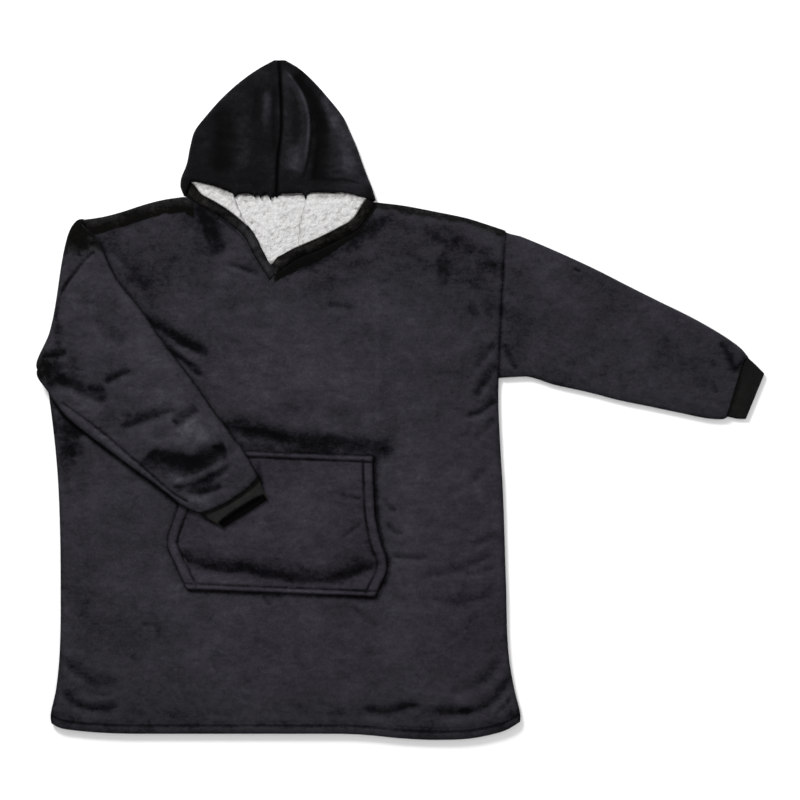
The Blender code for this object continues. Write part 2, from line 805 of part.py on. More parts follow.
def right_flap_x(y):
    return smooth_value(RIGHT_FLAP, "y", "x", y)


def lining(name, low_y, high_y, left_x, right_x, base, material):
    """A patch of pile lining between two edges, up to the hood's front edge."""
    columns, rows = LINING_CELLS
    outer = []
    inner = []
    for r in range(rows + 1):
        level = mix(low_y, high_y, r / rows)
        left = left_x(level)
        right = right_x(level)
        outer_row = []
        inner_row = []
        for c in range(columns + 1):
            x = mix(left, right, c / columns)
            y = min(level, line_y(HOOD_FRONT_EDGE, x) - LINING_CLEARANCE)
            edge = min(r, rows - r, c, columns - c)
            fall = EDGE_FALLS[1] if edge == 0 else 0.0
            outer_row.append((x, y, base + LINING_WALL - fall))
            inner_row.append((x, y, base))
        outer.append(outer_row)
        inner.append(inner_row)
    return make_wall(name, outer, inner, material)


def centre_on_box():
    """Put the middle of the garment's box over the origin."""
    corners = [v.co for piece in parts.objects if piece.type == "MESH" for v in piece.data.vertices]
    low = Vector(min(c[k] for c in corners) for k in range(3))
    high = Vector(max(c[k] for c in corners) for k in range(3))
    garment.location = (-(low.x + high.x) / 2, -(low.y + high.y) / 2, -low.z)


for old in list(bpy.data.objects):
    bpy.data.objects.remove(old, do_unlink=True)

parts = bpy.data.collections.new("oversized_hoodie")
bpy.context.scene.collection.children.link(parts)
garment = bpy.data.objects.new("garment", None)
parts.objects.link(garment)

fleece = make_material("black_fleece", (0.022, 0.021, 0.026), 0.9)
rib_knit = make_material("black_rib_knit", (0.014, 0.015, 0.014), 0.85)
pile = make_material("white_pile", (0.82, 0.81, 0.79), 1.0)

body_back(fleece)
body_front(fleece)
pocket(fleece)
sleeve_right(fleece)
sleeve_left(fleece)
cuff("cuff_right", RIGHT_CUFF, rib_knit)
cuff("cuff_left", LEFT_CUFF, rib_knit)
hood_half("hood_left", -1, fleece)
hood_half("hood_right", 1, fleece)
neckband("neckband_left", LEFT_BAND, LEFT_BAND_HEIGHT, fleece)
neckband("neckband_right", RIGHT_BAND, RIGHT_BAND_HEIGHT, fleece)
lining("lining_back", 856, 970, left_band_x, right_band_x, LINING_LOW, pile)
lining("lining_left", 908, 966, left_band_x, left_flap_x, FLAP_LOW, pile)
lining("lining_right", 884, 958, right_flap_x, right_band_x, FLAP_LOW, pile)
centre_on_box()
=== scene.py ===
import math
from collections import namedtuple

import bmesh
import bpy
import numpy as np
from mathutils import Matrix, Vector


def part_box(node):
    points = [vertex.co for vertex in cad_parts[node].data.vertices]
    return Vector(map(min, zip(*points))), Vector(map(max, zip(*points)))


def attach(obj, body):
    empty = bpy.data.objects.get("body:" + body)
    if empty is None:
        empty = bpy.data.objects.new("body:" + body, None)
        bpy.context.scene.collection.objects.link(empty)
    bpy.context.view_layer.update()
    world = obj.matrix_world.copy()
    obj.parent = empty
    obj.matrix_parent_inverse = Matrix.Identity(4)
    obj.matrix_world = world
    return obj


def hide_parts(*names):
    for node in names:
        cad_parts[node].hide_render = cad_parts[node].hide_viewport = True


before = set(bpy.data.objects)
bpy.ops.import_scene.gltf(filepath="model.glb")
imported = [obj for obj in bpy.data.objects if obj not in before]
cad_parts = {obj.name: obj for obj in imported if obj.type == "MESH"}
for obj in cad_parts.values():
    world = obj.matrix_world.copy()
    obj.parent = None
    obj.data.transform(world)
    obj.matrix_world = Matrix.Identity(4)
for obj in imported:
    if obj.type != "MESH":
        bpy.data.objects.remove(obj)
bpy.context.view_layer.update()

bpy.ops.object.select_all(action="DESELECT")

# All sizes below are millimetres on the garment: x from its centre line, y from its hem, z from the floor.
mm = 0.001
layer = 8.0  # fleece with its pile lining
gap = 0.3  # between two layers of cloth
frontLow = layer + gap
frontTop = frontLow + layer
sleeveHeight = 2 * layer + 2 * gap
pocketBase = frontTop + gap
foldAxis = sleeveHeight + gap  # height that the left sleeve is folded about
peakY = 1214.0  # the hood's highest point
innerStep = 4  # the hidden side of a wall has one cell for every four outside

pocketLow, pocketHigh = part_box("pocket")
pocketShift = 2.5  # the pocket's middle lies this far left of the centre line
garmentX = (pocketLow[0] + pocketHigh[0]) / 2 / mm + pocketShift
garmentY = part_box("hood_left")[1][1] / mm - peakY

bodySides = dict(
    y=[-12, 30, 75, 140, 270, 445, 530, 610, 655, 720, 895, 928],
    left=[-398, -412, -403, -396, -394, -398, -405, -415, -421, -397, -364, -351],
    right=[425, 435, 425, 414, 409, 403, 398, 395, 396, 398, 407, 409],
)
bodyLeft, bodyRight, leanReach = -394.0, 405.0, 200.0
hemLine = dict(
    x=[-412, -396, -367, -322, -250, 110, 167, 217, 283, 340, 380, 412, 434],
    y=[20, 11, 6, 2, 0, 0, -3, -8, -11, -9, -2, 8, 22],
)
neckLeft, neckTip, neckRight = -172.0, -18.0, 176.0
leftShoulder = dict(x=[-351, -322, -293, -236, -207, neckLeft], y=[927, 931, 938, 956, 963, 968])
leftNeckline = dict(
    x=[neckLeft, -157, -128, -106, -85, -61, -45, neckTip],
    y=[968, 960, 945, 932, 916, 893, 862, 815],
)
rightNeckline = dict(x=[neckTip, -2, 20, 74, 110, 146, neckRight], y=[815, 833, 850, 875, 893, 916, 958])
rightShoulder = dict(x=[neckRight, 225, 283, 340, 369, 408], y=[958, 952, 941, 929, 920, 907])
backNeck = dict(x=[neckLeft, neckTip, neckRight], y=[968, 955, 958])

# A trough along a path. Shade is the painted shade at its foot, lip the height of the bulge beside it, ends
# the share that fades out at each end, skew widens one side, light is a painted highlight uphill, hang is 1
# under an overhang
Crease = namedtuple("Crease", "path width depth shade lip ends skew light hang",
                    defaults=(0.0, 0.16, 0.0, 0.3, 0.0))
Patch = namedtuple("Patch", "x y length width turn shade")  # an oval of painted shade or light, and of darker or paler nap, turned in degrees


def readCurve(keys, values, at):  # a smooth curve through a table's points that never overshoots them
    keys, values = np.asarray(keys, float), np.asarray(values, float)
    at = np.clip(at, keys[0], keys[-1])
    spans = np.diff(keys)
    rates = np.diff(values) / spans
    slopes = np.zeros(len(keys))
    slopes[1:-1] = np.where(rates[:-1] * rates[1:] > 0, (rates[:-1] + rates[1:]) / 2, 0)
    slopes[0], slopes[-1] = rates[0], rates[-1]
    i = np.clip(np.searchsorted(keys, at, side="right") - 1, 0, len(spans) - 1)
    t = (at - keys[i]) / spans[i]
    curve = (2 * t**3 - 3 * t**2 + 1) * values[i] + (3 * t**2 - 2 * t**3) * values[i + 1]
    return curve + spans[i] * ((t**3 - 2 * t**2 + t) * slopes[i] + (t**3 - t**2) * slopes[i + 1])


def ease(t):
    t = np.clip(t, 0, 1)
    return t * t * (3 - 2 * t)


def mix(a, b, t):
    return a + (b - a) * t


def bell(distance, reach):  # 1 on a line, and falling off on both sides of it
    return np.exp(-((distance / reach) ** 2))


def roundOff(distance, reach):  # height of a rolled edge, 0 at the edge and 1 past the roll
    t = np.clip(1 - distance / reach, 0, 1)
    return np.sqrt(1 - t * t)


def graded(count, start, end, fineStart=1.0, fineEnd=1.0):  # steps that are finer at one or both ends
    growth = 7  # steps over which they reach full size
    k = np.arange(count)
    sizes = 1 - (1 - fineStart) * np.exp(-k / growth) - (1 - fineEnd) * np.exp(-(count - 1 - k) / growth)
    return start + (end - start) * np.concatenate([[0], np.cumsum(sizes) / sizes.sum()])


def softNoise(x, y, size, seed, turn=0.6):  # smooth random field from -1 to 1
    cells = 61
    lattice = np.random.default_rng(seed).uniform(-1, 1, (cells, cells))
    u = (x * math.cos(turn) - y * math.sin(turn)) / size
    v = (x * math.sin(turn) + y * math.cos(turn)) / size
    i, j = np.floor(u).astype(int), np.floor(v).astype(int)
    a, b = ease(u - i), ease(v - j)
    i, j, nextI, nextJ = i % cells, j % cells, (i + 1) % cells, (j + 1) % cells
    low = mix(lattice[i, j], lattice[nextI, j], a)
    high = mix(lattice[i, nextJ], lattice[nextI, nextJ], a)
    return mix(low, high, b)


def smoothPath(points):  # a rounded line through a few given points
    points = np.array(points, float)
    if len(points) < 3:
        return np.linspace(points[0], points[-1], 7)
    ends = np.vstack([2 * points[0] - points[1], points, 2 * points[-1] - points[-2]])
    line = []
    for a, b, c, d in zip(ends, ends[1:], ends[2:], ends[3:]):
        for t in np.arange(6) / 6:
            curve = 2 * b + (c - a) * t + (2 * a - 5 * b + 4 * c - d) * t**2 + (3 * b - 3 * c + d - a) * t**3
            line.append(curve / 2)
    return np.array(line + [points[-1]])


def besidePath(path, x, y):
    # Distance from a path, the side it is on, how far along, and how much the path's left faces the hood
    step = np.diff(path, axis=0)
    length = np.hypot(*step.T)
    run = np.concatenate([[0], np.cumsum(length)])
    towardX, towardY = x[:, None] - path[:-1, 0], y[:, None] - path[:-1, 1]
    t = np.clip((towardX * step[:, 0] + towardY * step[:, 1]) / length**2, 0, 1)
    away = np.hypot(towardX - t * step[:, 0], towardY - t * step[:, 1])
    k = away.argmin(1)
    rows = np.arange(len(x))
    side = np.sign(step[k, 0] * towardY[rows, k] - step[k, 1] * towardX[rows, k])
    return away[rows, k], side, (run[k] + t[rows, k] * length[k]) / run[-1], step[k, 0] / length[k]


def creaseField(creases, patches, x, y):  # rise of the cloth and its painted shade and light, over all its creases and patches
    shape = x.shape
    x, y = x.ravel(), y.ravel()
    rise, shade = np.zeros(len(x)), np.zeros(len(x))
    for crease in creases:
        path = smoothPath(crease.path)
        reach = 4.5 * crease.width
        near = (x > path[:, 0].min() - reach) & (x < path[:, 0].max() + reach)
        near &= (y > path[:, 1].min() - reach) & (y < path[:, 1].max() + reach)
        if not near.any():
            continue
        away, side, along, upward = besidePath(path, x[near], y[near])
        ragged = 1 + 0.18 * softNoise(x[near], y[near], 16, 3) + 0.07 * softNoise(x[near], y[near], 5, 4)
        fade = ease(along / crease.ends) * ease((1 - along) / crease.ends)
        across = side * away / crease.width * ragged / (1 + crease.skew * side) / (0.5 + 0.5 * fade)
        fade *= 1 + 0.2 * softNoise(x[near], y[near], 25, 5)
        rise[near] += fade * crease.lip * bell(across - 1.6, 0.9)
        rise[near] -= fade * crease.depth * bell(across + 0.5 * upward, 1)
        upward = upward * (1 - 2 * crease.hang)
        # Painted shade: darkest at the foot of its upper wall and fading uphill, or downhill where cloth
        # overhangs it
        up = across * upward
        wall = np.where(up < 0, np.exp(-np.abs(up / 0.6) ** 3), np.exp(-np.abs(up / 1.0) ** 1.5))
        shade[near] += fade * crease.shade * mix(np.exp(-(np.abs(across) ** 2.6)), wall, upward**2)
        # a painted highlight on the lit wall beside the crease
        shade[near] -= fade * crease.light * min(crease.shade, 0) * bell(across + 1.7 * upward, 0.7)
    for patch in patches:
        turn = math.radians(patch.turn)
        u = (x - patch.x) * math.cos(turn) + (y - patch.y) * math.sin(turn)
        v = (y - patch.y) * math.cos(turn) - (x - patch.x) * math.sin(turn)
        edge = np.hypot(u / patch.length, v / patch.width)
        near = edge < 2
        ragged = 0.24 * softNoise(x[near], y[near], 16, 11) + 0.12 * softNoise(x[near], y[near], 6, 12)
        shade[near] += patch.shade * ease((1.35 - edge[near] + ragged) / 1.1)
    return rise.reshape(shape), shade.reshape(shape)


def distanceOutside(outline, x, y):  # distance from a closed outline, and nothing inside it
    shape = x.shape
    x, y = x.ravel(), y.ravel()
    outline = np.array(outline, float)
    away = besidePath(np.vstack([outline, outline[:1]]), x, y)[0]
    inside = np.zeros(len(x), bool)
    for (ax, ay), (bx, by) in zip(outline, np.roll(outline, -1, axis=0)):
        if ay != by:
            inside ^= ((ay > y) != (by > y)) & (x < (bx - ax) * (y - ay) / (by - ay) + ax)
    return np.where(inside, 0, away).reshape(shape)


def leftSideAt(y):
    return readCurve(bodySides["y"], bodySides["left"], y)


def rightSideAt(y):
    return readCurve(bodySides["y"], bodySides["right"], y)


def topEdge(x, back=False):  # shoulders, and between them the V of the front or the back neck seam
    left = readCurve(leftShoulder["x"], leftShoulder["y"], x)
    right = readCurve(rightShoulder["x"], rightShoulder["y"], x)
    if back:
        neck = readCurve(backNeck["x"], backNeck["y"], x)
    else:
        leftV = readCurve(leftNeckline["x"], leftNeckline["y"], x)
        rightV = readCurve(rightNeckline["x"], rightNeckline["y"], x)
        neck = np.where(x < neckTip, leftV, rightV)
    return np.where(x < neckLeft, left, np.where(x > neckRight, right, neck))


def bodyPlan(places, levels, back=False):  # plan of a body panel's points: columns lean with its sides
    places, levels = np.meshgrid(places, levels)
    leftShare = ease(1 - (places - bodyLeft) / leanReach)
    rightShare = ease(1 - (bodyRight - places) / leanReach)
    x = places.copy()
    for _ in range(3):
        low = readCurve(hemLine["x"], hemLine["y"], x)
        y = mix(low, topEdge(x, back), levels)
        x = places + leftShare * (leftSideAt(y) - bodyLeft) + rightShare * (rightSideAt(y) - bodyRight)
    return x, y


def coarsened(*grids):
    return [grid[::innerStep, ::innerStep] for grid in grids]


def normalsOf(line):  # unit vectors square to a line, on its left
    along = np.gradient(line, axis=0)
    along /= np.hypot(*along.T)[:, None]
    return np.stack([-along[:, 1], along[:, 0]], -1)


def toWorld(x, y, z):
    return np.stack(np.broadcast_arrays((x + garmentX) * mm, (y + garmentY) * mm, z * mm), axis=-1)


def makeWall(name, outer, inner, material, shade=None, closed=False, across=None, innerShade=0.0, hue=None):
    # A wall of cloth: a fine grid where it shows, a coarse one behind, and a strip of faces round its edges
    rows, columns = outer.shape[:2]
    innerRows, innerColumns = inner.shape[:2]
    ids = np.arange(rows * columns).reshape(rows, columns)
    backIds = rows * columns + np.arange(innerRows * innerColumns).reshape(innerRows, innerColumns)
    if closed:
        ids = np.hstack([ids, ids[:, :1]])
        backIds = np.hstack([backIds, backIds[:, :1]])
    faces = np.stack([ids[:-1, :-1], ids[:-1, 1:], ids[1:, 1:], ids[1:, :-1]], -1).reshape(-1, 4).tolist()
    backFaces = np.stack([backIds[:-1, :-1], backIds[1:, :-1], backIds[1:, 1:], backIds[:-1, 1:]], -1)
    faces += backFaces.reshape(-1, 4).tolist()
    edges = [(ids[0], backIds[0], 1), (ids[-1], backIds[-1], 0)]
    if not closed:
        edges += [(ids[:, 0], backIds[:, 0], 0), (ids[:, -1], backIds[:, -1], 1)]
    for edge, backEdge, turned in edges:
        step = (len(edge) - 1) // (len(backEdge) - 1)
        for k in range(len(backEdge) - 1):
            run = edge[k * step:(k + 1) * step + 1].tolist() + [int(backEdge[k + 1]), int(backEdge[k])]
            faces.append(run[::-1] if turned else run)
    points = np.vstack([outer.reshape(-1, 3), inner.reshape(-1, 3)])
    mesh = bpy.data.meshes.new(name)
    mesh.from_pydata(points.tolist(), [], faces)
    shape = bmesh.new()
    shape.from_mesh(mesh)
    bmesh.ops.recalc_face_normals(shape, faces=shape.faces)
    shape.to_mesh(mesh)
    shape.free()
    mesh.shade_smooth()
    # painted shade and light, with the nap's random tone, go in a point attribute for the materials
    tone = np.full(len(points), innerShade, np.float32)
    if shade is not None:
        tone[:rows * columns] = np.clip(shade, -1.4, 1.4).ravel()
    mesh.attributes.new("paintedShadeAndNap", "FLOAT", "POINT").data.foreach_set("value", tone)
    if hue is not None:  # below 0 painted shade is tinted olive, above 0 the nap is rosy
        tint = np.zeros(len(points), np.float32)
        tint[:rows * columns] = np.broadcast_to(hue, (rows, columns)).ravel()
        mesh.attributes.new("shadeAndNapHue", "FLOAT", "POINT").data.foreach_set("value", tint)
    if across is not None:  # how far round and along a rib cuff each point is
        flow = np.zeros((len(points), 3), np.float32)
        flow[:rows * columns, :2] = across.reshape(-1, 2)
        mesh.attributes.new("ribFlow", "FLOAT_VECTOR", "POINT").data.foreach_set("vector", flow.ravel())
    mesh.materials.append(material)
    piece = bpy.data.objects.new(name, mesh)
    bpy.context.scene.collection.objects.link(piece)
    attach(piece, "root")
    print("made", name, len(faces), "faces")
    return piece


# Materials
def addNode(tree, kind, x, y, **settings):
    node = tree.nodes.new(kind)
    node.location = (x, y)
    for key, value in settings.items():
        setattr(node, key, value)
    return node


def newGroup(name, inputs, outputs):
    group = bpy.data.node_groups.new(name, "ShaderNodeTree")
    for label, kind, value in inputs:
        socket = group.interface.new_socket(label, in_out="INPUT", socket_type=kind)
        if value is not None:
            socket.default_value = value
    for label, kind in outputs:
        group.interface.new_socket(label, in_out="OUTPUT", socket_type=kind)
    return group, addNode(group, "NodeGroupInput", -900, 0), addNode(group, "NodeGroupOutput", 900, 0)


def noiseIn(tree, vector, x, y, scale, detail, roughness=0.5, distortion=0.0):
    noise = addNode(tree, "ShaderNodeTexNoise", x, y)
    for label, value in dict(Scale=scale, Detail=detail, Roughness=roughness, Distortion=distortion).items():
        noise.inputs[label].default_value = value
    tree.links.new(vector, noise.inputs["Vector"])
    return noise.outputs["Fac"]


def mathIn(tree, operation, a, b, x, y, third=None):
    node = addNode(tree, "ShaderNodeMath", x, y, operation=operation)
    for socket, value in zip(node.inputs, (a, b, third)):
        if hasattr(value, "is_linked"):
            tree.links.new(value, socket)
        elif value is not None:
            socket.default_value = value
    return node.outputs[0]


def stretch(tree, vector, x, y, scale, turn=0.0):
    mapping = addNode(tree, "ShaderNodeMapping", x, y)
    mapping.inputs["Scale"].default_value = scale
    mapping.inputs["Rotation"].default_value = (0, 0, turn)
    tree.links.new(vector, mapping.inputs["Vector"])
    return mapping.outputs["Vector"]


def makeNapGroup():
    # Brushed nap: clouds and mottle, rubbed patches with crisp rims, short sideways strokes and fine grain
    inputs = [("Vector", "NodeSocketVector", None), ("Shade", "NodeSocketFloat", 0.0),
              ("Rubbing", "NodeSocketFloat", 1.0), ("Grain", "NodeSocketFloat", 1.0)]
    outputs = [("Tone", "NodeSocketFloat"), ("Height", "NodeSocketFloat")]
    group, start, end = newGroup("brushedNap", inputs, outputs)
    vector = start.outputs["Vector"]
    cloud = noiseIn(group, vector, -700, 500, 8.0, 2.0, 0.5, 0.5)
    brush = noiseIn(group, stretch(group, vector, -900, 300, (26, 40, 30)), -700, 300, 1.0, 3.0, 0.55, 0.8)
    mottle = noiseIn(group, stretch(group, vector, -900, 400, (78, 105, 80)), -700, 400, 1.0, 2.0, 0.5, 0.7)
    rubbed = noiseIn(group, stretch(group, vector, -900, 150, (24, 38, 30)), -700, 100, 1.0, 3.0, 0.55, 1.8)
    stroke = noiseIn(group, stretch(group, vector, -800, -100, (26, 170, 40)), -600, -100, 1.0, 3.0, 0.6, 0.5)
    grain = noiseIn(group, vector, -700, -300, 560.0, 2.0, 0.7)
    fleck = noiseIn(group, vector, -700, -500, 210.0, 3.0, 0.7, 0.6)
    patch = addNode(group, "ShaderNodeMapRange", -450, 100, interpolation_type="SMOOTHSTEP")
    patch.inputs["From Min"].default_value = 0.56
    patch.inputs["From Max"].default_value = 0.64
    group.links.new(rubbed, patch.inputs["Value"])
    total = mathIn(group, "MULTIPLY_ADD", cloud, 0.34, -250, 500, -0.17)
    total = mathIn(group, "MULTIPLY_ADD", brush, 0.3, -150, 400, total)
    total = mathIn(group, "MULTIPLY_ADD", mottle, 0.34, -100, 350, total)
    total = mathIn(group, "MULTIPLY_ADD", patch.outputs["Result"], -0.045, -50, 300, total)
    total = mathIn(group, "MULTIPLY_ADD", stroke, 0.12, 50, 200, total)
    total = mathIn(group, "ADD", total, -0.37, 150, 150)
    total = mathIn(group, "MULTIPLY", total, start.outputs["Rubbing"], 250, 100)
    fine = mathIn(group, "MULTIPLY_ADD", grain, 0.5, -150, -300, -0.25)
    fine = mathIn(group, "MULTIPLY_ADD", fleck, 0.6, -50, -400, fine)
    fine = mathIn(group, "ADD", fine, -0.3, 50, -400)
    fine = mathIn(group, "MULTIPLY", fine, start.outputs["Grain"], 150, -400)
    total = mathIn(group, "ADD", total, fine, 400, 0)
    total = mathIn(group, "ADD", total, 0.5, 500, 0)
    # the painted shade and light from the attribute move the tone
    shaded = mathIn(group, "MULTIPLY_ADD", start.outputs["Shade"], 0.42, 600, 0, total)
    group.links.new(shaded, end.inputs["Tone"])
    height = mathIn(group, "MULTIPLY", fleck, 0.5, 200, -600)
    height = mathIn(group, "MULTIPLY_ADD", grain, 0.6, 300, -500, height)
    height = mathIn(group, "MULTIPLY_ADD", brush, 0.5, 500, -500, height)
    group.links.new(height, end.inputs["Height"])
    return group


def newMaterial(name, **values):
    material = bpy.data.materials.new(name)
    material.use_nodes = True
    shader = material.node_tree.nodes["Principled BSDF"]
    for label, value in values.items():
        shader.inputs[label.replace("_", " ")].default_value = value
    return material, material.node_tree, shader


def rampIn(tree, factor, x, y, stops):
    ramp = addNode(tree, "ShaderNodeValToRGB", x, y)
    elements = ramp.color_ramp.elements
    while len(elements) < len(stops):
        elements.new(0.5)
    for element, (position, color) in zip(elements, stops):
        element.position = position
        element.color = (*color, 1)
    tree.links.new(factor, ramp.inputs["Fac"])
    return ramp.outputs["Color"]


def bumpInto(tree, shader, height, strength, distance):
    bump = addNode(tree, "ShaderNodeBump", 100, -400)
    bump.inputs["Strength"].default_value = strength
    bump.inputs["Distance"].default_value = distance
    tree.links.new(height, bump.inputs["Height"])
    tree.links.new(bump.outputs["Normal"], shader.inputs["Normal"])


fleeceLook = dict(
    # colours from the darkest painted shade and nap to the palest; olive tints painted shade, rosy the nap
    body=[(0.0, (0.0022, 0.0021, 0.0026)), (0.2, (0.0071, 0.0066, 0.0084)), (0.4, (0.0160, 0.0152, 0.0188)),
          (0.5, (0.0192, 0.0182, 0.0226)), (0.72, (0.0285, 0.0272, 0.0335)), (1.0, (0.048, 0.0465, 0.056))],
    # the hood's copy of the same cloth is darker: painted shade
    hood=[(0.0, (0.0010, 0.0010, 0.0010)), (0.3, (0.0022, 0.0022, 0.0024)), (0.5, (0.0044, 0.0043, 0.0049)),
          (0.75, (0.0140, 0.0135, 0.0165)), (1.0, (0.036, 0.035, 0.043))],
    olive=(1.0, 1.02, 0.7), rosy=(1.05, 0.96, 1.05),  # tints where shadeAndNapHue is below or above 0
    bodyRubbing=1.22, bodyGrain=0.8, hoodRubbing=0.6, hoodGrain=0.4, bump=0.35, nap=0.0009,
)


def makeFleece(name, kind, napGroup):  # of the body or of the hood
    material, tree, shader = newMaterial(name, Roughness=0.75, Specular_IOR_Level=0.02, Sheen_Weight=0.004,
                                         Sheen_Roughness=0.4, Sheen_Tint=(0.85, 0.85, 1, 1))
    place = addNode(tree, "ShaderNodeTexCoord", -900, 0)
    shade = addNode(tree, "ShaderNodeAttribute", -900, -300, attribute_name="paintedShadeAndNap")
    nap = addNode(tree, "ShaderNodeGroup", -600, 0, node_tree=napGroup)
    nap.inputs["Rubbing"].default_value = fleeceLook[kind + "Rubbing"]
    nap.inputs["Grain"].default_value = fleeceLook[kind + "Grain"]
    tree.links.new(place.outputs["Object"], nap.inputs["Vector"])
    tree.links.new(shade.outputs["Fac"], nap.inputs["Shade"])
    color = rampIn(tree, nap.outputs["Tone"], -300, 100, fleeceLook[kind])
    hue = addNode(tree, "ShaderNodeAttribute", -900, -500, attribute_name="shadeAndNapHue")
    for sign, tint, at in ((-1, fleeceLook["olive"], -150), (1, fleeceLook["rosy"], 0)):
        share = mathIn(tree, "MULTIPLY", hue.outputs["Fac"], sign, at - 150, -400)
        blend = addNode(tree, "ShaderNodeMix", at, 100, data_type="RGBA", blend_type="MULTIPLY")
        tree.links.new(share, blend.inputs["Factor"])
        tree.links.new(color, blend.inputs["A"])
        blend.inputs["B"].default_value = (*tint, 1)
        color = blend.outputs["Result"]
    tree.links.new(color, shader.inputs["Base Color"])
    rough = mathIn(tree, "MULTIPLY_ADD", nap.outputs["Tone"], -0.3, -300, -200, 0.9)
    tree.links.new(rough, shader.inputs["Roughness"])
    bumpInto(tree, shader, nap.outputs["Height"], fleeceLook["bump"], fleeceLook["nap"])
    return material


def makeRibKnit(name):
    # Rows of small stitches on the raised ribs of a cuff
    material, tree, shader = newMaterial(name, Roughness=0.85, Specular_IOR_Level=0.03)
    flow = addNode(tree, "ShaderNodeAttribute", -900, 0, attribute_name="ribFlow")
    place = addNode(tree, "ShaderNodeTexCoord", -900, -300)
    shade = addNode(tree, "ShaderNodeAttribute", -900, -600, attribute_name="paintedShadeAndNap")
    wave = addNode(tree, "ShaderNodeTexWave", -600, 0, bands_direction="Y", wave_profile="SIN")
    wave.inputs["Scale"].default_value = 210.0
    wave.inputs["Distortion"].default_value = 1.5
    wave.inputs["Detail Scale"].default_value = 2.0
    tree.links.new(flow.outputs["Vector"], wave.inputs["Vector"])
    fuzz = noiseIn(tree, place.outputs["Object"], -600, -300, 900.0, 2.0, 0.6)
    cloud = noiseIn(tree, place.outputs["Object"], -600, -500, 60.0, 3.0, 0.6)
    tone = mathIn(tree, "MULTIPLY", fuzz, 0.35, -500, -200)
    tone = mathIn(tree, "MULTIPLY_ADD", wave.outputs["Fac"], 0.22, -400, 0, tone)
    tone = mathIn(tree, "MULTIPLY_ADD", cloud, 0.4, -300, 0, tone)
    # painted shade and light from the attribute: between the ribs, by the sleeve and inside the open end
    tone = mathIn(tree, "MULTIPLY_ADD", shade.outputs["Fac"], 0.5, -200, 0, tone)
    color = rampIn(tree, tone, -100, 100, [(0.0, (0.0012, 0.0012, 0.0012)), (0.45, (0.0085, 0.0086, 0.0080)),
                                          (1.0, (0.0275, 0.0276, 0.0266))])
    tree.links.new(color, shader.inputs["Base Color"])
    height = mathIn(tree, "MULTIPLY", fuzz, 0.4, -300, -400)
    height = mathIn(tree, "MULTIPLY_ADD", wave.outputs["Fac"], 0.7, -200, -300, height)
    bumpInto(tree, shader, height, 0.5, 0.0006)
    return material


def makePile(name):
    # White curly pile: a little warmer and darker where the attribute paints shade between its tufts
    material, tree, shader = newMaterial(name, Roughness=0.95, Specular_IOR_Level=0.1, Sheen_Weight=0.05)
    place = addNode(tree, "ShaderNodeTexCoord", -900, 0)
    shade = addNode(tree, "ShaderNodeAttribute", -900, -300, attribute_name="paintedShadeAndNap")
    curl = noiseIn(tree, place.outputs["Object"], -600, 0, 420.0, 3.0, 0.6, 2.2)
    soft = noiseIn(tree, place.outputs["Object"], -600, -200, 90.0, 2.0, 0.5)
    tone = mathIn(tree, "MULTIPLY_ADD", curl, 0.5, -400, 0, mathIn(tree, "MULTIPLY", soft, 0.25, -500, -100))
    tone = mathIn(tree, "ADD", mathIn(tree, "MULTIPLY", shade.outputs["Fac"], 0.5, -400, -300), tone, -300, 0)
    tone = mathIn(tree, "ADD", tone, 0.15, -200, 0)
    color = rampIn(tree, tone, -100, 100, [(0.0, (0.10, 0.098, 0.097)), (0.3, (0.30, 0.295, 0.29)),
                                          (0.6, (0.50, 0.497, 0.495)), (1.0, (0.60, 0.6, 0.597))])
    tree.links.new(color, shader.inputs["Base Color"])
    bumpInto(tree, shader, curl, 0.6, 0.0015)
    return material


def makeThread(name):
    material, tree, shader = newMaterial(name, Roughness=0.7, Specular_IOR_Level=0.05)
    place = addNode(tree, "ShaderNodeTexCoord", -700, 0)
    twist = noiseIn(tree, place.outputs["Object"], -500, 0, 1500.0, 1.0)
    color = rampIn(tree, twist, -300, 0, [(0.3, (0.003, 0.003, 0.0034)), (0.7, (0.011, 0.011, 0.013))])
    tree.links.new(color, shader.inputs["Base Color"])
    bumpInto(tree, shader, twist, 0.4, 0.0003)
    return material


brushedNap = makeNapGroup()
fleece = makeFleece("blackFleece", "body", brushedNap)
hoodFleece = makeFleece("blackHoodFleece", "hood", brushedNap)
ribKnit = makeRibKnit("blackRibKnit")
pile = makePile("whitePile")
thread = makeThread("blackThread")
print("materials ready")

# Sleeve cut: each column of a table runs from the armhole to the cuff
rightSleeve = dict(
    lowX=[400, 443, 497, 556, 614, 668, 725, 769, 797, 809],
    lowY=[641, 644, 629, 616, 601, 590, 578, 569, 567, 571],
    highX=[409, 455, 513, 571, 628, 686, 743, 794, 830, 846],
    highY=[907, 889, 864, 837, 808, 779, 751, 722, 697, 679],
    base=[0, 0, 0, 0, 0, 0, 0, 0, 0, 0],
    height=[16.6, 16.6, 16.6, 16.6, 16.6, 16.6, 16.6, 16.6, 15.5, 13.0],
)
leftSleeve = dict(
    lowX=[-421, -412, -385, -355, -322, -277, -236, -200, -173, -148],
    lowY=[655, 616, 576, 549, 524, 490, 461, 434, 412, 401],
    highX=[-351, -322, -290, -250, -209, -167, -131, -95, -63, -38],
    highY=[927, 884, 819, 769, 709, 655, 605, 554, 513, 470],
    base=[17.2, 17.0, 17.0, 17.0, 18.0, 20.2, 22.1, 22.2, 22.2, 22.3],
    height=[16.6, 16.6, 16.6, 16.6, 16.6, 16.6, 16.6, 16.6, 15.5, 13.0],
)
rightCuff = dict(
    lowX=[809.6, 826, 841], lowY=[571.3, 568, 567], highX=[846.2, 861, 875], highY=[678, 664, 650],
    base=[1.4, 0.4, 0.0], height=[9.4, 9.4, 9.4],
)
